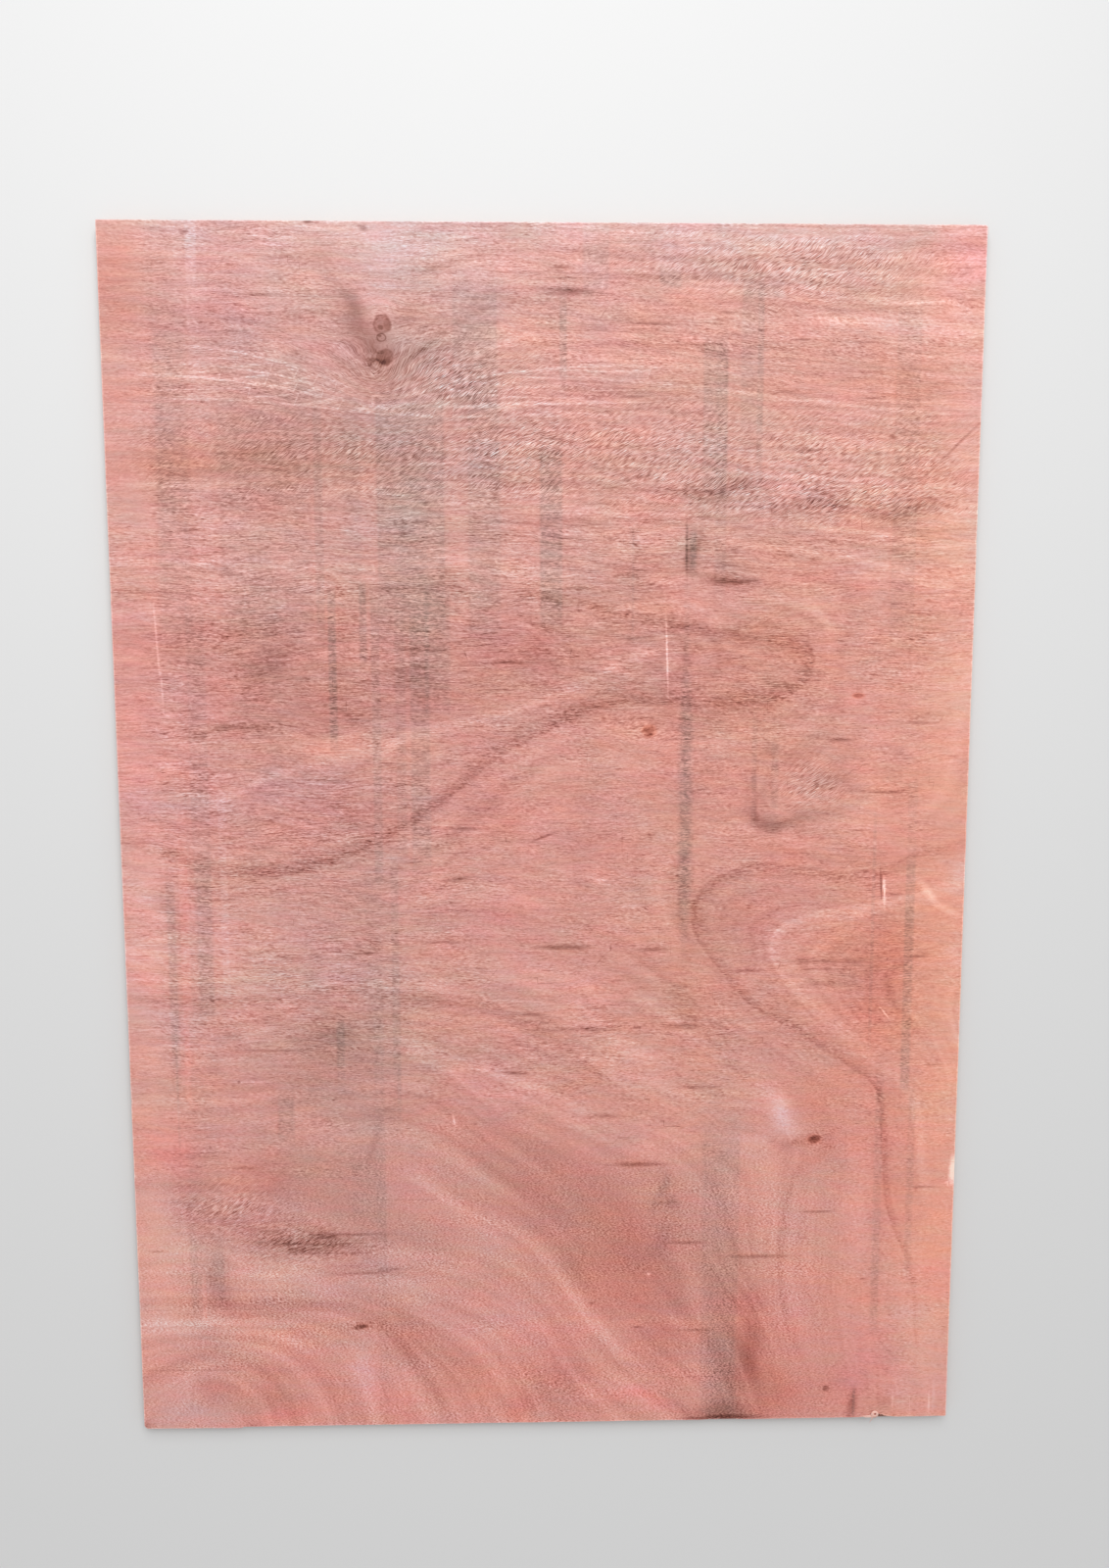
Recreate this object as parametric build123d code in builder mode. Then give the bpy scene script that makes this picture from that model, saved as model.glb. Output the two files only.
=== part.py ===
"""A sheet of hardwood plywood, lying flat with its good face up.

Millimetres. The origin is the middle of the underside. +X runs along the face grain, +Y along the
long side of the sheet and +Z up, out of the good face. The foot of the sheet is its edge at -Y, the
one it was stood on, and the head is its edge at +Y.
"""

import os

from build123d import *

# The sheet as it was sawn: a stock width and thickness, and a length cut from a longer sheet
sheet_width = 1220.0
sheet_length = 1750.0
sheet_thickness = 18.0
face_veneer = 1.2

# Worn edges: the easing of every long arris, and the rounding of each corner seen from above
arris_easing = 0.6
foot_left_radius = 6.0
foot_right_radius = 2.0
head_left_radius = 1.5
head_right_radius = 2.5

# The foot was sawn from both ends. The short cut runs down from the left corner at a slight angle,
# and where the long cut meets it a step is left.
short_cut_length = 147.0
short_cut_fall = 1.4
saw_step_depth = 1.9
saw_step_run = 1.5

# A splinter has torn face veneer off the foot near the right corner: the tear deepens slowly from
# its left end to the root of the splinter, and feathers out from there towards the corner.
splinter_root_from_right = 101.0
splinter_root_width = 6.0
splinter_root_depth = 6.5
tear_left_length = 24.0
tear_left_depth = 3.0
tear_right_length = 24.0
tear_right_depth = 4.0

# A knock has crushed the foot's arris in a long shallow bite
knock_from_left = 878.0
knock_length = 66.0
knock_depth = 1.2

left_side = -sheet_width / 2
right_side = sheet_width / 2
head = sheet_length / 2
foot = -sheet_length / 2
short_cut_start = foot + short_cut_fall
step_x = left_side + short_cut_length
long_cut = foot + saw_step_depth
outside_long_cut = long_cut - arris_easing

splinter_root_right = right_side - splinter_root_from_right
splinter_root_left = splinter_root_right - splinter_root_width
tear_left_end = splinter_root_left - tear_left_length
tear_right_end = splinter_root_right + tear_right_length

knock_middle = left_side + knock_from_left
knock_left_end = knock_middle - knock_length / 2
knock_right_end = knock_middle + knock_length / 2

corner_radii = {
    (left_side, short_cut_start): foot_left_radius,
    (right_side, long_cut): foot_right_radius,
    (left_side, head): head_left_radius,
    (right_side, head): head_right_radius,
}
under_face_veneer = Plane.XY.offset(sheet_thickness - face_veneer)

with BuildPart() as plywood_sheet:
    # The sheet's outline, with the two saw cuts of its foot
    with BuildSketch(Plane.XY) as outline:
        with BuildLine():
            Polyline(
                (left_side, short_cut_start),
                (step_x, foot),
                (step_x + saw_step_run, long_cut),
                (right_side, long_cut),
                (right_side, head),
                (left_side, head),
                close=True,
            )
        make_face()
        for corner, radius in corner_radii.items():
            fillet(outline.vertices().sort_by_distance(corner)[0], radius)
    extrude(amount=sheet_thickness)

    # The arrises of both faces, worn off all round by handling
    underside = plywood_sheet.faces().sort_by(Axis.Z)[0]
    good_face = plywood_sheet.faces().sort_by(Axis.Z)[-1]
    chamfer(underside.edges() + good_face.edges(), arris_easing)

    # The torn place, as deep as the face veneer
    with BuildSketch(under_face_veneer):
        with BuildLine():
            Polyline(
                (tear_left_end, outside_long_cut),
                (tear_right_end, outside_long_cut),
                (tear_right_end, long_cut),
                (splinter_root_right, long_cut + tear_right_depth),
                (splinter_root_right - splinter_root_width / 4, long_cut + splinter_root_depth),
                (splinter_root_left, long_cut + tear_left_depth),
                (tear_left_end, long_cut),
                close=True,
            )
        make_face()
    extrude(amount=2 * face_veneer, mode=Mode.SUBTRACT)

    # The knock's bite, as deep as the face veneer, with its ends running out on the foot
    with BuildSketch(under_face_veneer):
        with BuildLine():
            ThreePointArc(
                (knock_left_end, long_cut),
                (knock_middle, long_cut + knock_depth),
                (knock_right_end, long_cut),
            )
            Polyline(
                (knock_right_end, long_cut),
                (knock_right_end, outside_long_cut),
                (knock_left_end, outside_long_cut),
                (knock_left_end, long_cut),
            )
        make_face()
    extrude(amount=2 * face_veneer, mode=Mode.SUBTRACT)

plywood_sheet.part.label = "plywood_sheet"

os.makedirs("parts", exist_ok=True)
export_step(plywood_sheet.part, "parts/plywood_sheet.step")
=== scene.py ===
"""The looks of a sheet of hardwood plywood that lies flat with its good face up.

Blender objects are in metres, in the frame of the CAD model. Places and sizes on the sheet are in
millimetres: x from its left side, y from its foot and z from its underside. The face grain runs
along x.
"""

import logging
import math
from dataclasses import dataclass, field
from enum import Enum, IntEnum
from typing import Callable, Sequence, TypeVar

import bpy
import numpy as np
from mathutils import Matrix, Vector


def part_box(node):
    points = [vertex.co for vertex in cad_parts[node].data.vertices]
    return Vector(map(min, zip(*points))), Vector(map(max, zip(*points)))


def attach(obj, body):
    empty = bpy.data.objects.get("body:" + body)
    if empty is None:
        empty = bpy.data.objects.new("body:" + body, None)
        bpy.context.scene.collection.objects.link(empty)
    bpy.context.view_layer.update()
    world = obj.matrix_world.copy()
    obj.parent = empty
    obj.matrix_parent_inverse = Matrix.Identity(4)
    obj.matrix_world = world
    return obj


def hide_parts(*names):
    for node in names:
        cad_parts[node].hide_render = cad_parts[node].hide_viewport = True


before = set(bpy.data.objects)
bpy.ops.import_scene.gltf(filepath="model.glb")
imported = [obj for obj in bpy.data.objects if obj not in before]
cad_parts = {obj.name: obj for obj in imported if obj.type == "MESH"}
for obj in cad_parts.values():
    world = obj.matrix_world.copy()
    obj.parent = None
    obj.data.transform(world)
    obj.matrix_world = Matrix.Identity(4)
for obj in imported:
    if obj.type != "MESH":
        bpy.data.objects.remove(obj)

CAD_NODE = "plywood_sheet"
BODY = "root"
METRES = 0.001

Array = np.ndarray
Point = tuple[float, float]
Place = tuple[float, float, float]
Colour = tuple[float, float, float]
Face = tuple[int, ...]
Socket = bpy.types.NodeSocket
Material = bpy.types.Material
Thing = TypeVar("Thing")

log = logging.getLogger("plywood")
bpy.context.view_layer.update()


def linear(colour: Colour) -> tuple[float, float, float, float]:
    """Turn a colour as it is seen, in levels up to 255, into linear light.

    Args:
        colour: Red, green and blue levels.

    Returns:
        The linear colour with full alpha.
    """
    shares = [level / 255 for level in colour]
    light = [s / 12.92 if s <= 0.04045 else ((s + 0.055) / 1.055) ** 2.4 for s in shares]
    return (*light, 1.0)


def brightness(colour: Colour) -> float:
    """The brightness of a seen colour, in levels up to 255."""
    return 0.299 * colour[0] + 0.587 * colour[1] + 0.114 * colour[2]


def ease(values: Array, start: float, end: float) -> Array:
    """Rise smoothly from 0 where the values pass start to 1 where they pass end, up or down."""
    share = np.clip((values - start) / (end - start), 0.0, 1.0)
    return share * share * (3.0 - 2.0 * share)


def smooth_line(points: Sequence[tuple[float, ...]], parts: int = 6) -> Array:
    """Run a smooth curve through points.

    Args:
        points: The points that the curve passes, two or three numbers each.
        parts: How many pieces each span is cut into.

    Returns:
        The points of the curve, one row each.
    """
    knots = np.array(points, float)
    padded = np.vstack([2 * knots[0] - knots[1], knots, 2 * knots[-1] - knots[-2]])
    curve = []
    for before, start, end, after in zip(padded, padded[1:], padded[2:], padded[3:]):
        for share in np.arange(parts) / parts:
            curve.append(0.5 * (
                2 * start
                + (end - before) * share
                + (2 * before - 5 * start + 4 * end - after) * share ** 2
                + (3 * start - before - 3 * end + after) * share ** 3
            ))
    curve.append(knots[-1])
    return np.array(curve)


def each(kind: Callable[..., Thing], *rows: tuple) -> tuple[Thing, ...]:
    """Make one thing of a kind from each row of its values."""
    return tuple(kind(*row) for row in rows)


def show(name: str, data: bpy.types.ID) -> bpy.types.Object:
    """Put an object with this mesh, lamp or lens into the scene.

    Args:
        name: The object's name.
        data: What it shows.

    Returns:
        The object.
    """
    shown = bpy.data.objects.new(name, data)
    bpy.context.scene.collection.objects.link(shown)
    return shown


def turned(x: Array, y: Array, tilt: float) -> tuple[Array, Array]:
    """How far places lie along and across a direction that is tilted by so many degrees."""
    turn = math.radians(tilt)
    return x * math.cos(turn) + y * math.sin(turn), y * math.cos(turn) - x * math.sin(turn)


class Wander:
    """A smooth random field over the sheet, the sum of a few long waves."""

    def __init__(self, seed: int, shortest: float, longest: float, waves: int = 9) -> None:
        """Draw the waves.

        Args:
            seed: Seeds the draw.
            shortest: The shortest wavelength, in mm.
            longest: The longest wavelength, in mm.
            waves: How many waves are added up.
        """
        draw = np.random.default_rng(seed)
        length = draw.uniform(shortest, longest, waves)
        heading = draw.uniform(0, math.tau, waves)
        self.pull_x = math.tau * np.cos(heading) / length
        self.pull_y = math.tau * np.sin(heading) / length
        self.start = draw.uniform(0, math.tau, waves)
        self.share = math.sqrt(2 / waves)

    def at(self, x: Array, y: Array | float = 0.0) -> Array:
        """The field at these places, about -2 to 2 with a spread of 1."""
        waves = zip(self.pull_x, self.pull_y, self.start)
        return self.share * sum(np.sin(pull_x * x + pull_y * y + start) for pull_x, pull_y, start in waves)


class Tint(Enum):
    """What a patch of veneer adds to its red, green and blue, as shares of them."""

    PLAIN = (0.0, 0.0, 0.0)
    ORANGE = (0.035, -0.014, -0.070)
    PINK = (0.04, -0.04, 0.02)
    COOL = (-0.05, 0.02, 0.07)
    TEAL = (-0.07, 0.02, 0.03)
    RED = (0.07, -0.10, -0.08)
    WARM = (0.022, -0.032, -0.045)

    def times(self, amounts: Array) -> Array:
        """The tint in these amounts, one row of three for each."""
        return np.multiply.outer(amounts, np.array(self.value))


@dataclass(frozen=True)
class Blush:
    """A soft patch of veneer that is deeper or paler than the rest, or of another tint.

    The reaches are where it has faded to a third, and depth is in levels, more being darker.
    """

    x: float
    y: float
    reach_x: float
    reach_y: float
    depth: float = 0.0
    tint: Tint = Tint.PLAIN
    amount: float = 0.0
    tilt: float = 0.0

    def weight(self, x: Array, y: Array) -> Array:
        """How strong the patch is at these places."""
        along, across = turned(x - self.x, y - self.y, self.tilt)
        return np.exp(-((along / self.reach_x) ** 2) - (across / self.reach_y) ** 2)

    def deepening(self, x: Array, y: Array) -> Array:
        """How much deeper the patch makes these places."""
        return self.depth * self.weight(x, y)


def tinted(tint: Tint, *rows: tuple) -> list[Blush]:
    """Make patches of one tint from rows of x, y, reaches and depth, then amount and tilt if any."""
    return [Blush(*row[:5], tint, *row[5:]) for row in rows]


@dataclass(frozen=True)
class StainBand:
    """A straight grey stain that press rollers left across the grain."""

    left: float
    right: float
    low: float
    high: float
    strength: float
    edge: float = 5.0
    fade: float = 60.0

    def weight(self, x: Array, y: Array) -> Array:
        """How strong the stain is at these places.

        Args:
            x: Places along the grain.
            y: Places across it.

        Returns:
            The strength at each place.
        """
        half = self.fade / 2
        sides = ease(x, self.left, self.left + self.edge) * ease(x, self.right, self.right - self.edge)
        ends = ease(y, self.low - half, self.low + half) * ease(y, self.high + half, self.high - half)
        return self.strength * sides * ends

    def columns(self) -> list[float]:
        """Where the sides need columns of vertices to stay crisp."""
        return [self.left, self.left + self.edge, self.right - self.edge, self.right]


@dataclass(frozen=True)
class GrowthLine:
    """A dark or pale line of the figure, crisp on one side and fading slowly on the other.

    The slow side lies to the left of the line's run where width is positive. Depth is in levels.
    """

    depth: float
    width: float
    points: tuple[Point, ...]
    end_width: float = 0.0
    swell: tuple[float, ...] = (1.0,)

    def width_at(self, share: Array) -> Array:
        """The width at this share of the run."""
        return self.width + ((self.end_width or self.width) - self.width) * share

    def depth_at(self, share: Array) -> Array:
        """The depth at this share of the run: swell holds shares of it at even steps."""
        return self.depth * np.interp(share, np.linspace(0, 1, len(self.swell)), self.swell)


@dataclass(frozen=True)
class Contour:
    """A line of one age in the log: the knife left the sheet's broad bands between these."""

    age: float
    points: tuple[Point, ...]


@dataclass(frozen=True)
class Fleck:
    """A dark fleck along the grain, or a pale scratch where depth is negative."""

    x: float
    y: float
    length: float
    width: float
    depth: float
    tilt: float = 0.0


@dataclass(frozen=True)
class Knot:
    """A pin knot: a dark or red eye, a darker rim, and the halo round it, with depths in levels."""

    x: float
    y: float
    radius_x: float
    radius_y: float
    eye: float
    redness: float = 0.0
    halo: float = 0.0
    tilt: float = 0.0
    rim: float = 0.0

    def weight(self, x: Array, y: Array) -> Array:
        """How near these places are to the knot's middle: 1 there, and a third at its radius."""
        return np.exp(-(((x - self.x) / self.radius_x) ** 2) - ((y - self.y) / self.radius_y) ** 2)


@dataclass(frozen=True)
class Bend:
    """How far the grain is bent down at a place, in mm."""

    x: float
    y: float
    reach_x: float
    reach_y: float
    drop: float

    def shift(self, x: Array, y: Array) -> Array:
        """How far the grain is bent at these places."""
        return self.drop * np.exp(-(((x - self.x) / self.reach_x) ** 2) - ((y - self.y) / self.reach_y) ** 2)


@dataclass(frozen=True)
class Figure:
    """Everything that the good face shows.

    Dashed is where short dark dashes are thick. Slanting is where the fine texture runs at a slant,
    coarser where it is stronger, or weaker where negative, and unbanded where the bands are faint.
    """

    knots: tuple[Knot, ...] = each(Knot,
        (385.5, 1614.5, 12, 12.5, 20, 0.3, -4, 0, 26), (392, 1614.5, 5.5, 8, 20, 0.3),
        (383, 1623.5, 9, 4, 14, 0.1, 0, 20), (383.5, 1610.5, 4.4, 3.6, 36, 0.1),
        (384, 1596.8, 6.4, 5.8, 6, 0.1, 0, 0, 40), (382, 1599, 3, 2.5, 36),
        (388.5, 1570.5, 11.5, 11, 27, 0.3, 3, 0, 22), (389, 1564.5, 10.5, 4.8, 15, 0.1),
        (387, 1563.5, 4.4, 3.4, 24), (385, 1577, 3.2, 2.6, 24), (370, 1567, 12, 3.6, 26, 0.2),
        (410, 1574.5, 13, 4, 20, 0.1, 0, 25), (757, 1054, 10, 8, 42, 1, -8),
        (1057, 1104, 8, 4, 36, 0.9, -3), (1008, 445, 11, 7, 58, 0.6, 5, 8), (1006, 446, 5, 3.6, 26),
        (329, 159.5, 14, 5, 50, 0.4, 6, 6), (331, 159.5, 5, 2.6, 34), (1034, 50, 6, 5.5, 44, 0.1, 3),
        (158, 541, 2.6, 2.2, 46, 0.1), (137, 1511, 4, 3.4, 30, 0.2), (131, 1279, 3.5, 3, 26),
    )
    growth_lines: tuple[GrowthLine, ...] = (
        GrowthLine(19, -0.9, (
            (-40, 1252), (100, 1252), (200, 1252), (300, 1256), (450, 1257), (600, 1250), (700, 1226),
            (800, 1206), (900, 1190), (965, 1184), (986, 1170), (988, 1150), (975, 1118), (935, 1099),
            (850, 1093), (750, 1095), (700, 1092), (650, 1075), (600, 1051), (560, 1032), (520, 1005),
            (480, 970), (440, 940), (400, 915), (350, 888), (300, 865), (250, 853), (200, 850), (150, 852),
            (100, 863), (50, 884), (-40, 910),
        ), 0, (0.35, 0.35, 0.5, 1, 0.9, 1, 1, 1, 0.6)),
        GrowthLine(17, 0.9, (
            (1260, 903), (1187, 884), (1146, 872), (1112, 856), (1084, 849), (1040, 845), (973, 854),
            (909, 861), (884, 850), (851, 836), (832, 817), (823, 794), (825, 767), (837, 742), (854, 720),
            (873, 694), (896, 667), (923, 644), (951, 628), (993, 601), (1035, 574), (1080, 542),
            (1101, 518), (1108, 470), (1112, 420), (1118, 350), (1132, 305), (1152, 255), (1166, 180),
            (1172, 100),
        ), 0.42, (0.9, 0.9, 0.9, 0.9, 1, 1.2, 1.2, 1, 1, 1, 1, 0.6, 0.2)),
        GrowthLine(-12, 0.9, (
            (1260, 850), (1200, 832), (1150, 815), (1100, 802), (1050, 794), (1000, 784), (962, 772),
            (943, 752), (941, 728), (952, 700), (977, 668), (1012, 634), (1052, 599), (1092, 564),
            (1130, 536), (1152, 500), (1163, 450), (1168, 400), (1178, 330),
        )),
        GrowthLine(-14, 0.7, (
            (60, 975), (130, 955), (170, 965), (220, 990), (300, 1012), (380, 1033), (450, 1056),
            (540, 1075), (600, 1095), (660, 1120), (700, 1142), (745, 1160), (800, 1172),
        )),
        GrowthLine(9, -0.8, (
            (-30, 672), (50, 668), (200, 665), (300, 679), (400, 671), (500, 661), (560, 641), (605, 615),
            (650, 580), (710, 530), (770, 490),
        )),
        GrowthLine(-12, 1, (
            (380, 405), (420, 385), (470, 350), (525, 322), (566, 300), (603, 265), (632, 225), (668, 170),
            (712, 110), (762, 58), (830, 0),
        )),
        GrowthLine(-9, 0.9, (
            (380, 610), (440, 585), (520, 553), (600, 521), (660, 492), (720, 458), (790, 425),
        )),
        GrowthLine(-9, 0.8, (
            (-20, 166), (60, 167), (140, 167), (200, 163), (245, 150), (285, 128), (310, 100),
        )),
        GrowthLine(-10, 0.8, ((-20, 38), (25, 62), (70, 88), (110, 104), (150, 108))),
        GrowthLine(8, -0.9, (
            (-30, 205), (60, 206), (150, 202), (250, 200), (320, 192), (365, 165), (405, 118), (440, 60),
            (455, 0),
        )),
        GrowthLine(7, 0.9, (
            (560, 800), (640, 780), (720, 740), (790, 680), (850, 600), (900, 540), (960, 500),
        )),
        GrowthLine(11, 0.5, (
            (1000, 432), (984, 400), (970, 360), (962, 315), (958, 270), (960, 220), (972, 150), (1000, 80),
        )),
        GrowthLine(10, 0.3, (
            (1004, 1030), (987, 1016), (979, 1000), (979, 984), (1000, 975), (1040, 967), (1090, 964),
            (1140, 963),
        )),
        GrowthLine(-25, 0.26, (
            (20, 1546), (120, 1543), (220, 1532), (300, 1517), (360, 1507), (430, 1504), (520, 1506),
            (640, 1509), (760, 1511),
        )),
        GrowthLine(-22, 0.22, (
            (60, 1514), (170, 1512), (270, 1505), (340, 1498), (400, 1494), (480, 1490), (560, 1493),
        )),
        GrowthLine(-19, 0.24, ((90, 1586), (180, 1577), (260, 1558), (320, 1538), (362, 1518))),
        GrowthLine(-21, 0.22, ((150, 1559), (230, 1548), (300, 1530), (350, 1513))),
        GrowthLine(-21, 0.24, (
            (405, 1513), (450, 1526), (510, 1541), (590, 1553), (700, 1560), (800, 1556),
        )),
        GrowthLine(-18, 0.22, ((430, 1509), (500, 1520), (580, 1530), (660, 1533))),
        GrowthLine(9, 0.5, ((640, 1582), (760, 1590), (880, 1588), (1000, 1580), (1120, 1568))),
        GrowthLine(-15, 0.3, (
            (640, 1543), (740, 1538), (860, 1527), (960, 1515), (1080, 1503), (1200, 1494),
        )),
        GrowthLine(-9, 0.6, ((-20, 1290), (150, 1288), (300, 1284), (450, 1280), (600, 1275), (750, 1268))),
        GrowthLine(-9, 0.3, (
            (1035, 1010), (1005, 1035), (960, 1030), (934, 1005), (926, 975), (932, 948), (958, 938),
            (1000, 938),
        )),
        GrowthLine(10, 0.3, ((940, 1030), (936, 1008), (932, 985), (934, 962), (950, 946), (1000, 944))),
        GrowthLine(10, 0.25, ((1056, 1002), (1036, 988), (1012, 980), (985, 978))),
    )
    contours: tuple[Contour, ...] = (
        Contour(0, ((0, 60), (60, 95), (110, 110), (160, 90), (200, 50), (215, 0))),
        Contour(1.4, ((0, 165), (100, 166), (200, 165), (270, 140), (310, 100), (340, 50), (350, 0))),
        Contour(2.2, ((0, 205), (150, 202), (300, 195), (360, 168), (410, 110), (450, 50), (470, 0))),
        Contour(3.4, (
            (0, 290), (100, 290), (230, 262), (320, 222), (410, 188), (490, 145), (545, 90), (590, 0),
        )),
        Contour(5, (
            (0, 400), (150, 402), (300, 398), (420, 385), (525, 322), (603, 265), (668, 170), (712, 110),
            (830, 0),
        )),
        Contour(6.2, (
            (0, 520), (200, 525), (350, 540), (440, 530), (520, 470), (620, 395), (720, 300), (800, 200),
            (880, 100), (920, 0),
        )),
        Contour(7.2, (
            (0, 600), (200, 605), (380, 610), (520, 553), (660, 492), (790, 425), (860, 330), (920, 200),
            (960, 100), (985, 0),
        )),
        Contour(8.2, (
            (0, 675), (300, 680), (500, 660), (600, 615), (710, 530), (850, 468), (960, 440), (966, 350),
            (962, 230), (1010, 90), (1025, 0),
        )),
        Contour(9.4, (
            (0, 750), (300, 755), (480, 755), (640, 735), (760, 660), (860, 580), (980, 520), (1035, 450),
            (1050, 300), (1065, 150), (1085, 0),
        )),
        Contour(10.2, (
            (0, 810), (250, 812), (450, 830), (640, 800), (760, 740), (820, 690), (900, 610), (1010, 535),
            (1070, 470), (1085, 300), (1110, 100), (1120, 0),
        )),
        Contour(11.5, (
            (0, 895), (100, 863), (200, 850), (300, 865), (400, 915), (520, 1005), (600, 1051), (700, 1092),
            (850, 1093), (975, 1118), (988, 1150), (900, 1190), (700, 1226), (450, 1260), (200, 1258),
            (0, 1258),
        )),
        Contour(13, (
            (0, 990), (130, 955), (300, 1012), (450, 1056), (600, 1095), (745, 1160), (600, 1185),
            (300, 1215), (0, 1220),
        )),
        Contour(14.2, ((0, 1080), (200, 1100), (400, 1130), (520, 1155))),
        Contour(11.5, (
            (1220, 890), (1100, 852), (1000, 850), (900, 860), (828, 820), (826, 762), (880, 690),
            (980, 611), (1080, 540), (1108, 470), (1118, 350), (1152, 255), (1172, 0),
        )),
        Contour(13, (
            (1220, 838), (1100, 802), (1000, 784), (943, 752), (952, 700), (1052, 599), (1152, 500),
            (1178, 330), (1200, 150),
        )),
        Contour(14.6, ((1220, 780), (1100, 740), (1060, 700), (1110, 620), (1190, 520), (1220, 380))),
        Contour(10.6, (
            (1040, 1240), (1030, 1150), (1020, 1050), (1220, 1040), (900, 1000), (780, 980), (700, 950),
        )),
        Contour(9.6, ((0, 1345), (300, 1352), (600, 1350), (900, 1338), (1220, 1325))),
        Contour(8, ((0, 1430), (300, 1440), (600, 1450), (800, 1432), (1000, 1422), (1220, 1410))),
        Contour(6.4, (
            (0, 1525), (200, 1515), (300, 1500), (385, 1482), (470, 1498), (600, 1530), (800, 1522),
            (1000, 1508), (1220, 1495),
        )),
        Contour(5, (
            (0, 1612), (150, 1602), (250, 1588), (310, 1562), (345, 1535), (385, 1520), (430, 1535),
            (470, 1562), (540, 1600), (700, 1612), (850, 1602), (1000, 1592), (1220, 1578),
        )),
        Contour(3.6, (
            (0, 1690), (200, 1690), (300, 1700), (500, 1695), (700, 1688), (1000, 1680), (1220, 1672),
        )),
        Contour(2.6, ((0, 1750), (400, 1755), (800, 1750), (1220, 1745))),
    )
    dashed: tuple[Blush, ...] = (
        *tinted(Tint.PLAIN,
            (258, 292, 105, 22, 1.5), (150, 326, 70, 22, 0.6), (78, 352, 34, 44, 0.6),
            (170, 345, 70, 30, 0.3), (340, 246, 60, 8, 0.7), (850, 1391, 62, 8, 1.3),
            (1003, 1374, 46, 8, 1.1, 0, -8), (1120, 1366, 60, 12, 1.2, 0, 12), (205, 1140, 22, 26, 0.9),
            (612, 1160, 34, 50, 0.6), (415, 1150, 44, 50, 0.5), (640, 60, 60, 40, 0.5),
            (692, 24, 30, 12, 0.6), (300, 606, 80, 34, 0.6), (230, 480, 34, 30, 0.5),
            (170, 1061, 80, 8, 0.9), (660, 1255, 60, 6, 0.7), (220, 1205, 140, 30, 0.4),
            (160, 1365, 110, 12, 0.8), (330, 1352, 120, 8, 0.6), (790, 330, 20, 60, 0.5),
            (820, 1308, 14, 30, 0.7), (120, 235, 20, 34, 0.6), (700, 1400, 110, 20, 0.3),
            (80, 760, 20, 60, 0.5), (230, 660, 200, 10, 0.4), (860, 1266, 40, 5, 1)),
    )
    bends: tuple[Bend, ...] = each(Bend,
        (385, 1548, 44, 46, 26), (385, 1530, 110, 60, 22), (1230, 1570, 430, 110, 34),
        (387, 1640, 24, 14, -7), (757, 1040, 30, 16, 5), (757, 1068, 30, 16, -5), (1008, 432, 40, 22, 8),
        (1008, 460, 40, 22, -8), (329, 150, 30, 14, 4), (329, 170, 30, 14, -4),
    )
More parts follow.
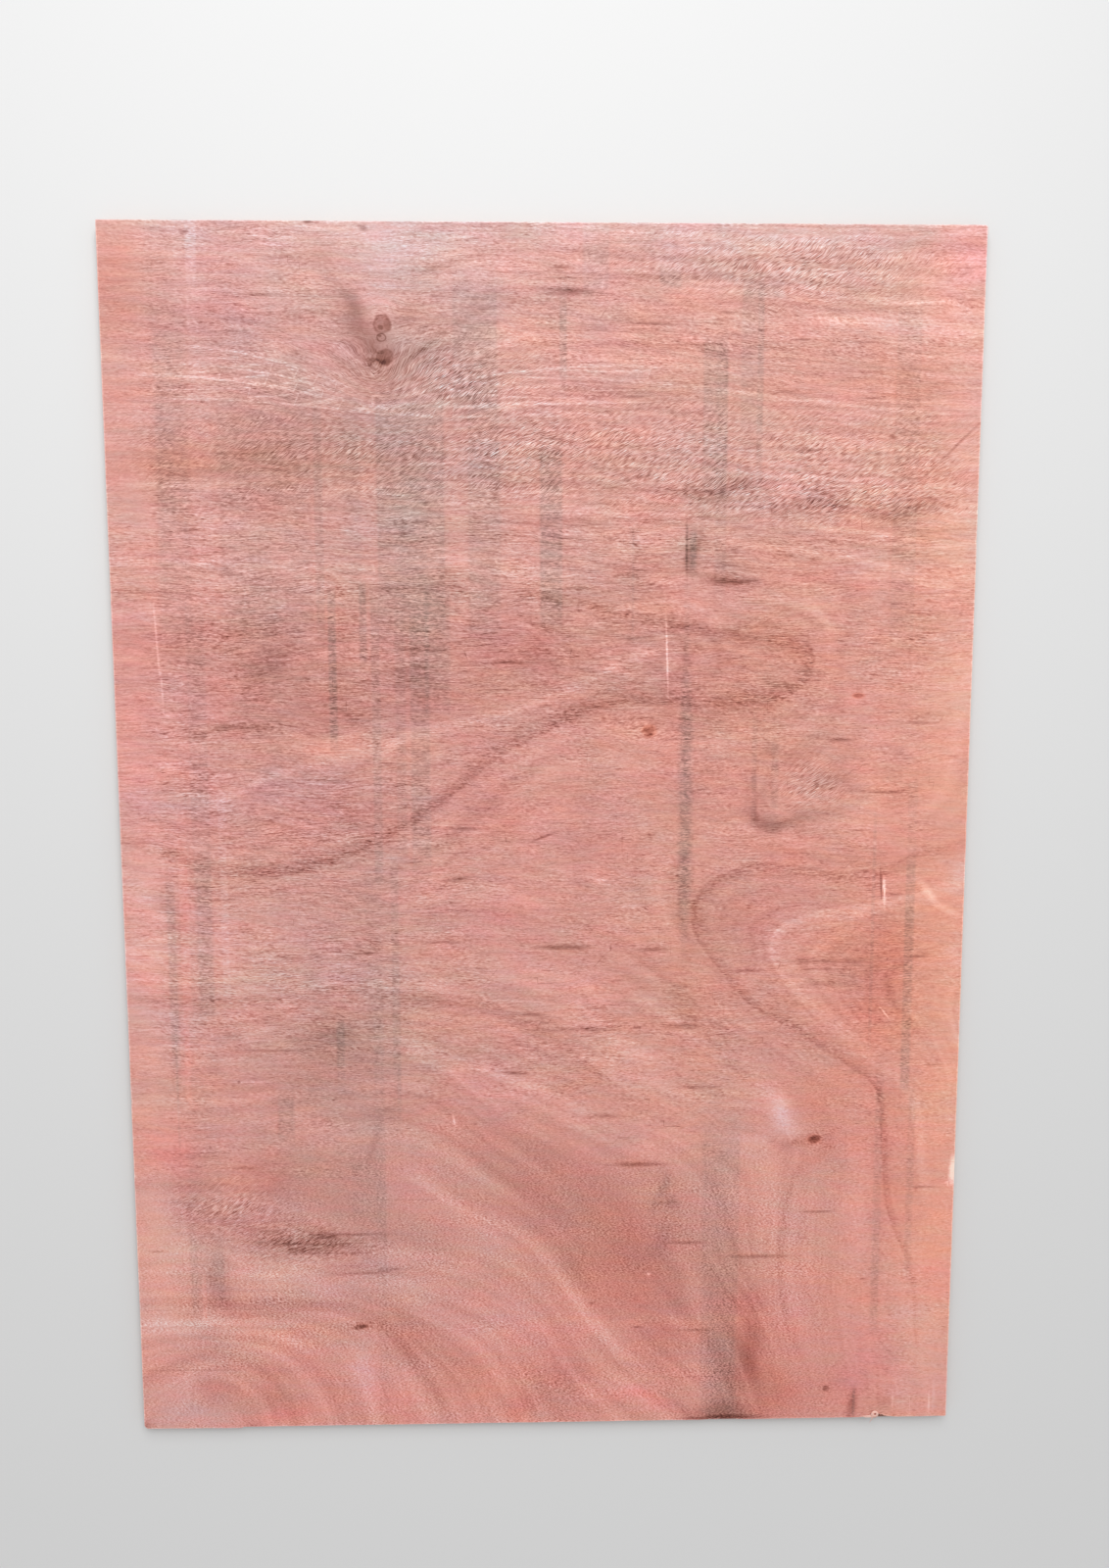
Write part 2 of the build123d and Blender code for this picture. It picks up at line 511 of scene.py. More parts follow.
    blushes: tuple[Blush, ...] = (
        *tinted(Tint.PLAIN,
            (1195, 1735, 50, 16, -9), (60, 850, 90, 120, -4), (60, 270, 80, 90, -5),
            (1000, 1420, 250, 90, -3), (800, 1145, 170, 44, 9), (620, 1190, 120, 40, 5),
            (150, 1062, 100, 12, 9), (330, 1068, 50, 12, 6), (720, 1145, 70, 26, -6),
            (370, 1165, 80, 16, -7), (400, 1195, 90, 40, -5), (960, 970, 60, 55, -3),
            (990, 725, 30, 45, -5), (620, 730, 110, 30, 4), (720, 640, 120, 60, 2),
            (200, 248, 70, 20, -13, 0, -12), (280, 222, 44, 14, -6, 0, -20), (340, 252, 70, 8, 7),
            (400, 560, 60, 14, -6, 0, -20), (735, 590, 60, 26, -9, 0, -35), (760, 470, 70, 22, -6, 0, -35),
            (660, 520, 70, 16, 4, 0, -32), (930, 530, 44, 22, -8, 0, -48), (860, 460, 60, 30, -5, 0, -20),
            (405, 60, 14, 60, -5, 0, 30), (245, 192, 60, 10, 7), (1117, 20, 12, 10, 16),
            (610, 1690, 620, 80, -1.5), (130, 262, 120, 80, -1.7), (990, 1600, 180, 120, -1.5),
            (838, 262, 70, 90, 3), (1160, 1680, 80, 80, -4), (1145, 790, 80, 90, -2),
            (150, 1140, 170, 80, 3), (300, 960, 240, 80, 2), (838, 790, 70, 80, 3), (160, -4, 14, 7, 22),
            (670, 1522, 70, 10, -7), (370, 606, 50, 14, -9), (490, 695, 150, 12, -8, 0, -4),
            (190, 484, 60, 16, -9), (70, 160, 100, 12, -13), (400, 235, 60, 24, -8, 0, -20),
            (520, 145, 40, 20, -8, 0, -40), (890, 180, 34, 90, 7), (1072, 780, 26, 22, -14),
            (1075, 955, 34, 30, -8), (1060, 1612, 160, 28, -9), (950, 1477, 110, 9, -7),
            (1110, 1388, 60, 14, -6), (490, 1100, 60, 40, 7), (260, 1100, 60, 26, 8),
            (700, 1092, 120, 16, 8, 0, 8), (760, 1272, 30, 14, 7), (880, 780, 60, 40, 4),
            (885, 1185, 60, 26, 5), (150, 1622, 170, 26, 6), (940, 455, 20, 16, -8),
            (1208, 1450, 40, 260, -7), (1072, 1100, 26, 230, -6), (1078, 350, 18, 110, -7),
            (1212, 680, 30, 150, -11), (600, 1682, 90, 10, -9), (1110, 1625, 30, 34, -9),
            (735, 800, 50, 30, -6), (700, 610, 100, 20, -5, 0, -32), (655, 625, 24, 14, -10),
            (240, 470, 26, 14, -9), (870, 560, 80, 40, -8, 0, -35), (760, 570, 50, 24, -9, 0, -35),
            (90, 592, 90, 8, -7), (395, 60, 24, 60, -8), (220, 1425, 230, 24, 8), (370, 1480, 140, 70, 10),
            (460, 1545, 70, 22, 9), (440, 1602, 50, 8, -9), (700, 1500, 110, 60, 5),
            (620, 1520, 110, 10, 5), (340, 1225, 50, 14, 9), (440, 1308, 110, 12, 8),
            (850, 1082, 110, 16, 9), (262, 1010, 40, 12, 14), (1010, 985, 60, 40, 8),
            (922, 985, 5, 30, -10), (811, 870, 13, 120, 8), (815, 740, 12, 60, 6),
            (270, 868, 80, 12, 7, 0, 14), (350, 925, 60, 26, 8), (520, 940, 60, 60, 5),
            (635, 262, 20, 64, 11, 0, 35), (430, 285, 70, 14, 9, 0, -10), (806, 235, 18, 50, 11, 0, 10),
            (845, 430, 24, 50, 7), (1160, 380, 50, 60, 6), (1003, 490, 30, 60, 7), (200, 392, 160, 18, 6),
            (200, 538, 130, 16, 7), (400, 500, 60, 14, 9), (400, 430, 70, 40, 5), (330, 212, 34, 16, 9),
            (600, 95, 20, 50, 6, 0, 36), (765, 1060, 34, 14, 10), (670, 1068, 50, 14, 7),
            (890, 1210, 50, 30, 6), (150, 1250, 200, 14, -6), (600, 1256, 70, 9, -10),
            (940, 1505, 60, 9, 8), (570, 1465, 60, 20, 6), (655, 160, 24, 60, 7, 0, 32)),
        *tinted(Tint.COOL,
            (395, 1690, 56, 54, -11, 1.5), (650, 1748, 900, 36, -11, 1.5), (280, 1590, 240, 100, 0, 0.9),
            (220, 1310, 260, 70, -5, 0.2), (190, 670, 210, 60, -3, 0.35), (400, 262, 110, 90, -4, 0.7),
            (480, 1660, 90, 50, -4, 0.5), (1003, 1373, 46, 8, 17, 0.5, -8),
            (1112, 1360, 46, 9, 14, 0.6, 12), (70, 950, 70, 26, 1, 1.3), (235, 985, 60, 26, 0, 1, 20),
            (1030, 970, 36, 12, 4, 0.5), (120, 760, 90, 60, -2, 0.4), (300, 740, 130, 70, 3, 0.6),
            (330, 850, 110, 40, 3, 0.5), (430, 515, 60, 34, 4, 0.3, -20), (400, 470, 60, 30, 2, 0.4, -20),
            (150, 325, 90, 22, 2, 0.4), (80, 360, 34, 36, 5, 0.6), (779, 372, 7, 26, 17, 1.2, -8),
            (803, 352, 15, 7, 20, 1.1, -14), (786, 292, 13, 36, 13, 1.1, 12),
            (620, 100, 22, 80, 7, 0.2, 38), (960, 488, 40, 14, -27, 1.5, -50),
            (986, 462, 20, 10, -12, 0.6, -45), (868, 230, 32, 230, 6, 0.2), (1212, 845, 14, 30, -9, 0.8),
            (965, 645, 40, 12, 7, 0.6, -40), (1145, 160, 50, 26, -5, 1), (640, 75, 26, 34, 8, 0.3, -40),
            (690, 28, 26, 12, 8, 0.3, -20), (330, 100, 40, 42, -9, 0.2), (70, 22, 60, 26, -6, 1.5),
            (330, 85, 16, 70, -3, 1), (60, 62, 9, 34, -7, 0.2, -40), (1160, 90, 60, 90, -3, 0.5),
            (1160, 262, 70, 90, -2.5, 0.15), (380, 262, 80, 90, 2, 0.3), (685, 1137, 80, 90, 0, 0.25),
            (1150, 1137, 80, 160, -1.5, 0.3), (838, 1312, 80, 90, 0, 0.25), (70, 80, 80, 80, 0, 0.25),
            (1180, 70, 70, 90, 0, 0.4), (70, 610, 80, 90, -2, 0.4), (535, 1660, 90, 90, 0, 0.5),
            (460, 1490, 170, 80, -2, 0.35), (380, 960, 90, 90, 2, 0.35), (380, 610, 80, 80, -2, 0.3),
            (28, 18, 34, 24, 4, 0.6)),
        *tinted(Tint.TEAL,
            (860, 1683, 90, 16, 9, 1), (1090, 1670, 40, 60, 0, 1.1), (322, 1688, 11, 44, 7, 0.2, 20),
            (335, 1655, 10, 24, 3, 0.4, 25), (425, 1583, 30, 8, 12, 0.6, 12),
            (470, 1592, 60, 24, 3, 0.6, 14), (230, 1470, 120, 30, 5, 0.3), (430, 1370, 120, 150, 0, 1.1),
            (430, 1500, 90, 24, -3), (870, 1400, 70, 90, 0, 1.4), (390, 1562, 90, 30, 5, 0.6),
            (816, 1308, 11, 30, 22, 0.6), (205, 1140, 24, 28, 11, 0.6), (425, 1130, 26, 24, 9, 0.4),
            (936, 920, 20, 8, 30, 0.9), (975, 925, 50, 9, 22, 0.9, 9), (911, 960, 9, 34, 10, 0.5),
            (933, 962, 9, 36, 12, 0.5, 8), (950, 1024, 30, 10, 13, 0.4), (1030, 978, 50, 9, 7, 0.4),
            (300, 620, 90, 28, 11, 1), (305, 615, 30, 22, 8, 0.5), (320, 580, 110, 34, 7, 0.6),
            (310, 520, 110, 36, 6, 0.5), (220, 480, 60, 60, 3, 0.4), (150, 610, 14, 14, 10, 0.8),
            (118, 565, 12, 16, 8, 0.6), (260, 440, 60, 50, 2, 0.3), (262, 291, 85, 17, 17, 0.5, -4),
            (120, 235, 18, 34, 10, 0.8), (90, 210, 30, 40, 5, 0.4), (770, 268, 16, 12, 8, 0.5),
            (880, 60, 26, 60, 10, 0.3), (880, 9, 46, 15, 30, 0.6), (893, 14, 28, 18, 12, 0.3),
            (334, 1646, 15, 46, 13, 0.5, 22), (4, 4, 9, 8, 30, 0.5), (880, 1278, 44, 16, 12, 0.7),
            (350, 1582, 44, 20, 8, 0.2, -30), (400, 650, 50, 50, 0, 0.9), (345, 1090, 40, 90, 0, 0.5),
            (725, 1260, 50, 18, 15, 0.7), (845, 1246, 30, 12, 10, 0.5), (1085, 1228, 60, 26, -4, 1.2),
            (350, 812, 50, 34, 4, 0.9), (320, 980, 60, 34, 0, 0.9), (480, 1255, 14, 50, 6, 1),
            (310, 985, 40, 24, 0, 0.5), (820, 990, 50, 40, 0, 0.4), (1135, 1440, 34, 130, 0, 0.7),
            (350, 1690, 40, 40, -5, 0.6), (790, 345, 60, 50, 0, 0.9), (335, 330, 44, 110, 0, 0.9),
            (60, 330, 40, 40, 0, 1.1), (62, 806, 14, 22, 14, 1.2, 20)),
        *tinted(Tint.PINK,
            (150, 1640, 120, 60, 2, 0.5), (845, 1391, 50, 8, 20, 0.5), (330, 1150, 330, 75, 12, 0.1),
            (560, 1180, 70, 45, 5, 0.5), (600, 1160, 22, 40, 6, 0.3), (25, 1000, 40, 260, -3, 0.9),
            (120, 930, 110, 50, 1, 0.8), (300, 950, 90, 60, 3, 0.6), (560, 920, 170, 90, 0, 0.4),
            (890, 790, 50, 45, 7, 0.2), (560, 770, 130, 30, 4, 0.4), (60, 460, 80, 40, -3, 0.4),
            (260, 470, 40, 24, -5, 0.4), (315, 372, 80, 60, 7, 0.4, -15), (470, 270, 50, 40, -5, 0.3, -30),
            (520, 470, 60, 50, 10, 0.5, -25), (590, 350, 40, 34, 6, 0.3, -35),
            (570, 150, 24, 90, -3, 0.4, 38), (655, 190, 20, 60, -6, 0.2, 30), (990, 250, 36, 130, -8, 0.3),
            (1000, 80, 40, 60, -5, 0.4), (1066, 290, 22, 110, -7, 0.4), (1080, 120, 30, 80, -2, 0.9),
            (1125, 110, 26, 50, 6, 0.4), (1050, 60, 60, 34, 5, 0.8), (250, 90, 16, 60, 0, 0.3, 38),
            (100, 116, 50, 20, 9, 0.4), (118, 205, 16, 20, 8, 0.7), (1190, 70, 60, 80, 0, 0.15),
            (520, 990, 44, 60, 7, 0.2), (540, 970, 70, 60, 0, 0.4), (130, 1165, 90, 40, 0, 0.4),
            (110, 1080, 70, 90, -5, 0.9), (1185, 1690, 50, 40, 0, 0.7)),
        *tinted(Tint.RED,
            (1190, 1730, 50, 40, 0, 0.5), (1190, 1600, 90, 30, -7, 0.2), (690, 262, 85, 85, 8, 0.6),
            (330, 60, 260, 110, 0, 0.35), (990, 80, 60, 90, 6, 0.1), (20, 1655, 34, 60, 8, 0.3),
            (366, 1585, 9, 22, 8, 0.2), (393, 1549, 10, 8, 9, 0.2), (386, 1592, 13, 26, 9, 0.1),
            (90, 1300, 120, 16, 2, 0.8), (140, 1480, 60, 40, 0, 0.5), (875, 1265, 42, 8, 9, 0.2),
            (160, 1226, 200, 12, -6, 0.3), (320, 1080, 70, 40, 6, 0.3), (912, 925, 13, 12, 34, 0.2),
            (195, 395, 40, 34, 10, 0.4), (600, 410, 60, 70, 12, 0.15, -40),
            (670, 360, 60, 80, 14, 0.2, -30), (740, 270, 60, 90, 15, 0.25, 10),
            (790, 150, 50, 90, 13, 0.3, 10), (1016, 424, 9, 22, 11, 0.2, -14), (1100, 700, 40, 90, 6, 0.35),
            (914, 118, 19, 56, 32, 0.4), (905, 190, 26, 24, 8, 0.7), (960, 38, 40, 34, 10, 0.4),
            (745, 38, 50, 14, 3, 1, -12), (795, 30, 34, 12, 8, 0.8, -14), (570, 22, 24, 26, 14, 0.8),
            (400, 20, 18, 40, 6, 0.6), (130, 64, 36, 12, 9, 0.4, -10), (215, 15, 26, 12, 8, 0.4),
            (180, 182, 90, 9, 8, 0.3), (150, 193, 60, 11, 8, 0.3), (205, 90, 42, 11, 9, 0.2, -8),
            (198, 46, 11, 32, 11, 0.4, 30), (243, 30, 12, 22, 9, 0.5, 30), (102, 57, 26, 16, 8, 0.3),
            (700, 50, 90, 30, -11, 0.2, -25), (680, 215, 20, 80, 5, 0.2, 34), (905, 100, 24, 50, 9, 0.3),
            (560, 80, 190, 90, 0, 0.55), (70, 420, 60, 34, 0, 1), (1080, 560, 50, 110, 0, 0.7),
            (1120, 340, 50, 120, 0, 0.4), (560, 525, 110, 22, -12, 0.4, -18), (150, 12, 90, 16, -9, 0.6),
            (980, 1410, 110, 22, 0, 0.5), (930, 60, 60, 80, 6, 0.2), (1200, 230, 24, 40, 0, 0.7),
            (87, 790, 8, 170, 0, 0.4), (85, 570, 7, 80, 0, 0.5), (600, 160, 20, 60, 0, 0.3, 36),
            (1020, 1610, 60, 14, 0, 0.6), (850, 1600, 40, 14, -4, 0.6), (1130, 945, 44, 20, 0, 0.5),
            (1000, 1270, 160, 20, 0, 0.4), (980, 160, 110, 60, 0, 0.3), (1200, 1685, 34, 26, 0, 0.8),
            (855, 50, 24, 50, 0, 0.5), (645, 1660, 24, 5, 12, 0.9)),
        *tinted(Tint.ORANGE,
            (1120, 700, 110, 230, 0, 0.8), (60, 1500, 60, 300, -2, 0.25), (352, 1612, 20, 54, 27, 0.5, 16),
            (440, 1648, 24, 38, 6, 0.5, -16), (378, 1556, 8, 8, 7, 0.8), (425, 1625, 16, 20, 8, 0.3),
            (190, 1428, 160, 28, 9, 1.1), (850, 1560, 260, 60, 0, 0.1), (1100, 1530, 80, 30, 4, 0.3),
            (1140, 1420, 60, 260, 0, 1), (1000, 1250, 190, 70, -2, 0.5), (300, 1036, 60, 20, -9, 1.3),
            (420, 1040, 60, 14, -5, 0.7, 15), (1150, 730, 80, 110, -1, 0.5),
            (1100, 1180, 130, 180, 0, 0.25), (1195, 1150, 50, 300, -6, 0.5), (1180, 950, 60, 90, 0, 0.5),
            (1100, 715, 70, 70, 9, 0.9), (1185, 660, 50, 160, 2, 0.2), (1205, 400, 44, 260, -10, 1.2),
            (790, 163, 180, 10, -9, 1), (1160, 230, 50, 120, 0, 0.4), (420, 320, 70, 40, 6, 0.2, -20),
            (900, 560, 60, 50, 5, 0.2, -40), (982, 440, 24, 7, 20, 0.4, 6), (1140, 250, 24, 90, -5, 0.4),
            (945, 70, 44, 50, 5, 0.8), (440, 110, 26, 90, 10, 0.5, 34), (510, 70, 20, 60, 6, 0.3, 34),
            (395, 160, 24, 50, 7, 0.3, 34), (200, 50, 30, 50, 11, 0.6, 35), (285, 60, 14, 60, 6, 0.4, 34),
            (255, 153, 45, 7, 3, 1.2), (208, 135, 34, 22, -8, 0.6), (160, 58, 10, 30, -6, 0.6, 35),
            (30, 250, 50, 160, -8, 0.3), (20, 700, 40, 300, -6, 0.3), (990, 1490, 80, 90, 0, 0.35),
            (1150, 440, 80, 90, 0, 0.5), (685, 262, 80, 90, 2, 0.4), (880, 1090, 240, 200, 0, 0.45),
            (820, 660, 160, 120, 0, 0.3), (920, 1530, 90, 30, 0, 0.5), (300, 1030, 60, 22, -3, 0.6)),
        *tinted(Tint.WARM,
            (560, 1450, 60, 70, 3, 0.3), (1190, 100, 60, 160, -7, 0.9), (500, 200, 60, 60, 0, 0.4, -50),
            (600, 585, 60, 24, 4, 0.3, -25), (70, 440, 80, 90, 0, 0.5), (990, 262, 80, 90, 3, 0.4),
            (90, 720, 120, 60, -9, 0.8), (30, 790, 40, 60, -5, 0.3), (60, 340, 60, 40, -5, 0.3),
            (940, 820, 90, 40, 0, 0.4), (20, 1640, 40, 80, 0, 0.6), (1070, 420, 44, 60, 0, 1),
            (980, 880, 110, 90, 0, 0.5), (940, 1050, 120, 30, 0, 0.6)),
    )
    stain_bands: tuple[StainBand, ...] = each(StainBand,
        (66, 120, 1190, 1620, 0.5, 8), (70, 98, 1290, 1600, 0.25), (150, 285, 1190, 1560, 0.45, 12, 90),
        (285, 301, 1190, 1510, 0.6, 4), (328, 351, 1190, 1520, 0.22, 4), (372, 470, 1190, 1520, 0.72, 4),
        (395, 446, 1190, 1420, 0.28, 6), (500, 548, 1190, 1520, 0.48, 4), (480, 545, 1490, 1665, 0.6, 4),
        (600, 635, 1210, 1445, 1.1, 4), (345, 358, 1150, 1262, 0.9, 3, 14),
        (436, 476, 1080, 1258, 0.55, 4, 20), (628, 641, 1540, 1650, 0.9, 3),
        (660, 700, 1655, 1745, 0.5, 4, 20), (725, 741, 1178, 1339, 0.25, 3),
        (731, 735, 1190, 1335, 0.35, 1.5, 20), (766, 800, 1664, 1690, 0.7, 4, 10),
        (828, 866, 1395, 1600, 0.72, 4), (846, 866, 1250, 1600, 0.4, 4), (880, 915, 1470, 1668, 0.45, 4),
        (903, 915, 1390, 1668, 0.5, 3), (882, 942, 1652, 1674, 0.6, 4, 10),
        (1098, 1135, 1180, 1660, 0.42, 3, 90), (806, 811, 1284, 1342, 1, 1.5, 12),
        (809, 825, 1282, 1336, 1.2, 6, 16), (804, 816, 720, 1262, 0.4, 4, 90),
        (800, 820, 760, 1140, 0.6, 4, 90), (796, 824, 800, 1090, 0.6, 4.9, 90),
        (394, 412, 870, 1215, 0.45, 4), (415, 446, 850, 1215, 0.7, 4), (361, 376, 840, 1250, 0.66, 3),
        (175, 240, 820, 1240, 0.26, 10, 90), (300, 315, 1040, 1250, 1.3, 4),
        (100, 130, 640, 1250, 0.42, 4, 80), (104, 128, 645, 862, 0.5, 4), (60, 76, 560, 840, 0.75, 4, 90),
        (66, 71, 440, 620, 0.6, 2), (383, 397, 540, 880, 0.46, 3), (345, 373, 560, 880, 0.18),
        (250, 400, 420, 840, 0.24, 12, 120), (200, 373, 310, 446, 0.3, 14, 70),
        (318, 373, 300, 440, 0.3, 4, 70), (212, 240, 450, 520, 0.7, 4, 30), (300, 316, 540, 640, 0.7, 4),
        (388, 397, 490, 560, 0.5, 3), (354, 372, 20, 640, 0.3, 4, 80), (76, 130, 190, 450, 0.32, 6),
        (76, 90, 180, 300, 0.5, 4), (112, 130, 190, 300, 0.25, 4), (838, 900, 0, 460, 0.65, 6),
        (848, 896, -40, 200, 0.45, 8, 90), (1083, 1090, 600, 930, 0.6, 2),
        (1132, 1149, 520, 862, 1.1, 4, 20), (1132, 1149, 862, 990, 0.4, 4, 30),
        (1096, 1112, 150, 540, 0.65, 4), (1146, 1160, 230, 520, 0.6, 4), (904, 914, 915, 1080, 0.45, 3),
        (932, 946, 940, 1040, 0.6, 4), (1074, 1080, 5, 45, 1.6, 2, 10),
    )
    clean_stripes: tuple[StainBand, ...] = each(StainBand,
        (-9, 66, 1180, 1760, 0.18, 4, 90), (301, 326, 1190, 1450, 0.05, 3), (352, 371, 1270, 1490, 0.2, 3),
        (472, 499, 1190, 1450, 0.22, 4), (79, 95, 640, 940, 0.3, 3), (79, 90, 505, 640, 0.3, 3),
        (93, 101, 173, 244, 0.7, 2, 14), (893, 899, 60, 170, 0.3, 2, 14), (548, 600, 1280, 1720, 0.2, 4),
    )
    pale_stripes: tuple[StainBand, ...] = each(StainBand,
        (118, 136, 1540, 1760, 0.8, 3), (118, 136, 1680, 1760, 1, 3), (100, 150, 1620, 1760, 0.6, 6),
        (118, 148, 1230, 1560, 0.6, 4), (138, 152, 640, 960, 1.2, 3), (1080, 1098, 1200, 1700, 0.45, 3),
        (1196, 1204, 8, 60, 1.2, 3, 10), (660, 700, 1655, 1760, 0.6, 4, 20),
        (765, 1092, 1662, 1742, 0.55, 4, 14), (93, 101, 173, 244, 0.5, 2, 14),
    )
    flecks: tuple[Fleck, ...] = each(Fleck,
        (645, 1660, 42, 8, 24), (808.5, 1312, 54, 3, 24, 91), (633, 1692, 20, 3, 26),
        (750, 1617, 46, 2.6, 30, -2), (732, 1519, 26, 2.4, 22), (735, 1408, 34, 3, 26, 12),
        (863, 1632, 22, 2.2, 20), (964, 1596, 26, 2.2, 20), (1055, 1593, 24, 2, 18),
        (1068, 1518, 22, 2.2, 20), (946, 1527, 20, 2.2, 18), (987, 1447, 26, 3, 22), (1096, 1465, 7, 4, 24),
        (218, 1653, 24, 3, 24), (115, 1336, 30, 3, 22), (287, 1749, 9, 3, 50), (120, 1735, 10, 5, 30, 20),
        (362, 1741, 9, 6, 30, -30), (872, 1265, 46, 5, 34), (898, 1267, 26, 3, 20), (650, 1256, 34, 3, 20),
        (375, 1256, 60, 3, 16), (556, 1152, 46, 4, 24), (432, 1170, 50, 3, 24), (735, 1186, 36, 3, 20, 4),
        (180, 1061, 70, 5, 18), (1033, 1041, 24, 4, 30), (1150, 1065, 46, 2.6, 20),
        (785, 1077, 18, 2.4, 18), (800, 1042, 34, 2.4, 20), (606, 902, 26, 3, 26, 22),
        (488, 914, 44, 4, 20), (484, 841, 28, 4, 30, 8), (135, 812, 30, 3, 20), (636, 739, 50, 5, 30),
        (766, 735, 28, 5, 26), (455, 748, 36, 3, 18), (347, 732, 24, 3, 22), (713, 689, 18, 3, 20),
        (1005, 716, 56, 7, 18), (1055, 716, 40, 6, 16), (1020, 682, 60, 7, 12), (905, 703, 34, 3, 26),
        (588, 639, 24, 4, 28), (675, 616, 48, 5, 26), (625, 616, 30, 4, 16), (806, 620, 40, 6, 26),
        (560, 551, 26, 3.4, 28), (1182, 558, 20, 2.4, 22), (1156, 722, 22, 3, 22),
        (1197, 1017, 12, 2.4, 16), (1108, 965, 44, 3.4, 24), (911, 962, 44, 6, 12, 92),
        (1164, 1078, 56, 4, 10, -3), (1060, 909, 16, 3, 18), (832, 527, 46, 3.4, 22), (690, 484, 44, 5, 20),
        (745, 409, 56, 5, 30), (1174, 369, 26, 2.6, 22), (1015, 332, 34, 3, 24), (818, 286, 40, 3.4, 24),
        (930, 263, 66, 4, 24), (833, 147, 36, 3, 20), (1086, 225, 8, 2.6, 26), (745, 153, 10, 2.4, 24),
        (676, 192, 8, 3, 24), (70, 94, 110, 2.4, 11), (30, 282, 22, 2.6, 20), (165, 410, 30, 3, 18),
        (352, 440, 50, 8, 10, 74), (378, 250, 30, 3, 18), (305, 305, 80, 3.4, 22),
        (236, 291, 100, 3, 22, -3), (190, 312, 50, 3, 12, -4), (335, 244, 70, 3, 14, 2),
        (280, 276, 90, 2.6, 16), (210, 588, 90, 2.6, 16), (30, 1250, 90, 2.4, 16),
        (782, 1160, 70, 2.2, -34, 92), (1102, 823, 34, 3.4, -44, 93), (1112, 815, 24, 2.6, 20),
        (1097.5, 828, 34, 2.4, 34, 94), (1108, 637, 18, 2, -36, -52), (1169, 814, 42, 8, -19, -52),
        (1198, 790, 38, 7, -15, -26), (62, 1180, 90, 2.4, -18, 93), (67, 1115, 50, 2.4, -14, 92),
        (1182, 1449, 92, 2.6, 22, 44), (690, 839, 16, 5, -18, 20), (655, 847, 64, 6, -10, -12),
        (472, 480, 12, 2.4, -30, 100), (662, 574, 6, 4, -30), (762, 237, 4, 3.4, -46),
        (1217, 393, 7, 30, -50), (1074, 20, 38, 10, 27, 84), (884, 3.5, 62, 7, 46), (848, 2.5, 44, 4, 30),
        (1193, 24, 26, 2.6, -18, 90), (1137, 25, 22, 2.4, -12, 90), (180, 541, 44, 1.6, -20),
    )
    slanting: tuple[Blush, ...] = each(Blush,
        (720, 1445, 620, 62), (1010, 1375, 190, 30), (480, 1550, 110, 34), (930, 1695, 190, 44),
        (990, 975, 44, 44), (240, 290, 90, 40), (130, 350, 70, 40),
    )
    coarser: tuple[Blush, ...] = tuple(tinted(Tint.PLAIN,
        (1130, 990, 90, 130, -0.35), (1000, 1255, 200, 60, -0.25), (387, 1592, 16, 36, -0.75),
        (352, 1612, 20, 46, -0.6, 0, 18), (390, 1690, 60, 50, -0.35), (400, 1535, 210, 50, 0.20),
        (190, 325, 150, 60, -0.30)))
    unbanded: Blush = Blush(730, 300, 130, 140, 0.75, tilt=-30)

    def warped(self, x: Array, y: Array) -> tuple[Array, Array]:
        """The same places, moved a little so that soft shapes get uneven outlines."""
        along, across = Wander(11, 60, 210), Wander(12, 50, 170)
        return x + 5.0 * along.at(x, y), y + 3.5 * across.at(x, y)

    def tone(self, x: Array, y: Array) -> Array:
        """Depth in levels, grey stain, and the bend of the grain in mm, at each place.

        Args:
            x: Places along the grain.
            y: Places across it.

        Returns:
            One row of three for each place.
        """
        warped = self.warped(x, y)
        depth = sum(b.deepening(*warped) for b in self.blushes)
        depth = depth - 6.0 * sum(b.weight(x, y) for b in self.pale_stripes)
        depth = depth + np.interp(y, [0, 300, 700, 1150, 1400, 1700], [-5.0, -4.5, -3.5, -1.0, 2.0, 3.5])
        depth = depth - 4.0 * ease(x, 1060, 1180)
        stain = sum(b.weight(x, y) for b in self.stain_bands)
        stain = stain - sum(b.weight(x, y) for b in self.clean_stripes)
        shift = sum(b.shift(x, y) for b in self.bends)
        return np.stack([depth, stain, shift], -1)

    def tint(self, x: Array, y: Array) -> Array:
        """What is added to the colour at each place.

        Args:
            x: Places along the grain.
            y: Places across it.

        Returns:
            One row for each place: shares of red, green and blue.
        """
        warped = self.warped(x, y)
        total = sum(b.tint.times(b.amount * b.weight(*warped)) for b in self.blushes if b.amount)
        total = total + Tint.COOL.times(0.35 * sum(s.weight(x, y) for s in self.pale_stripes))
        # Slow ramps, more orange toward the right and warmer toward the foot: partly the veneer's own colour,
        # partly painted light, where less warmth toward the head stands in for the sheen and light that fall
        # more on it
        total += Tint.ORANGE.times(0.40 * ease(x, 250, 1000) + 0.35 * ease(x, 1040, 1200))
        warmth = np.interp(y, [0, 150, 500, 1150, 1300, 1700], [1.9, 1.3, 0.7, 0.4, -0.3, -1.0])
        return total + Tint.WARM.times(warmth + 0.35 * ease(x, 500, 1150) * ease(y, 1200, 900))

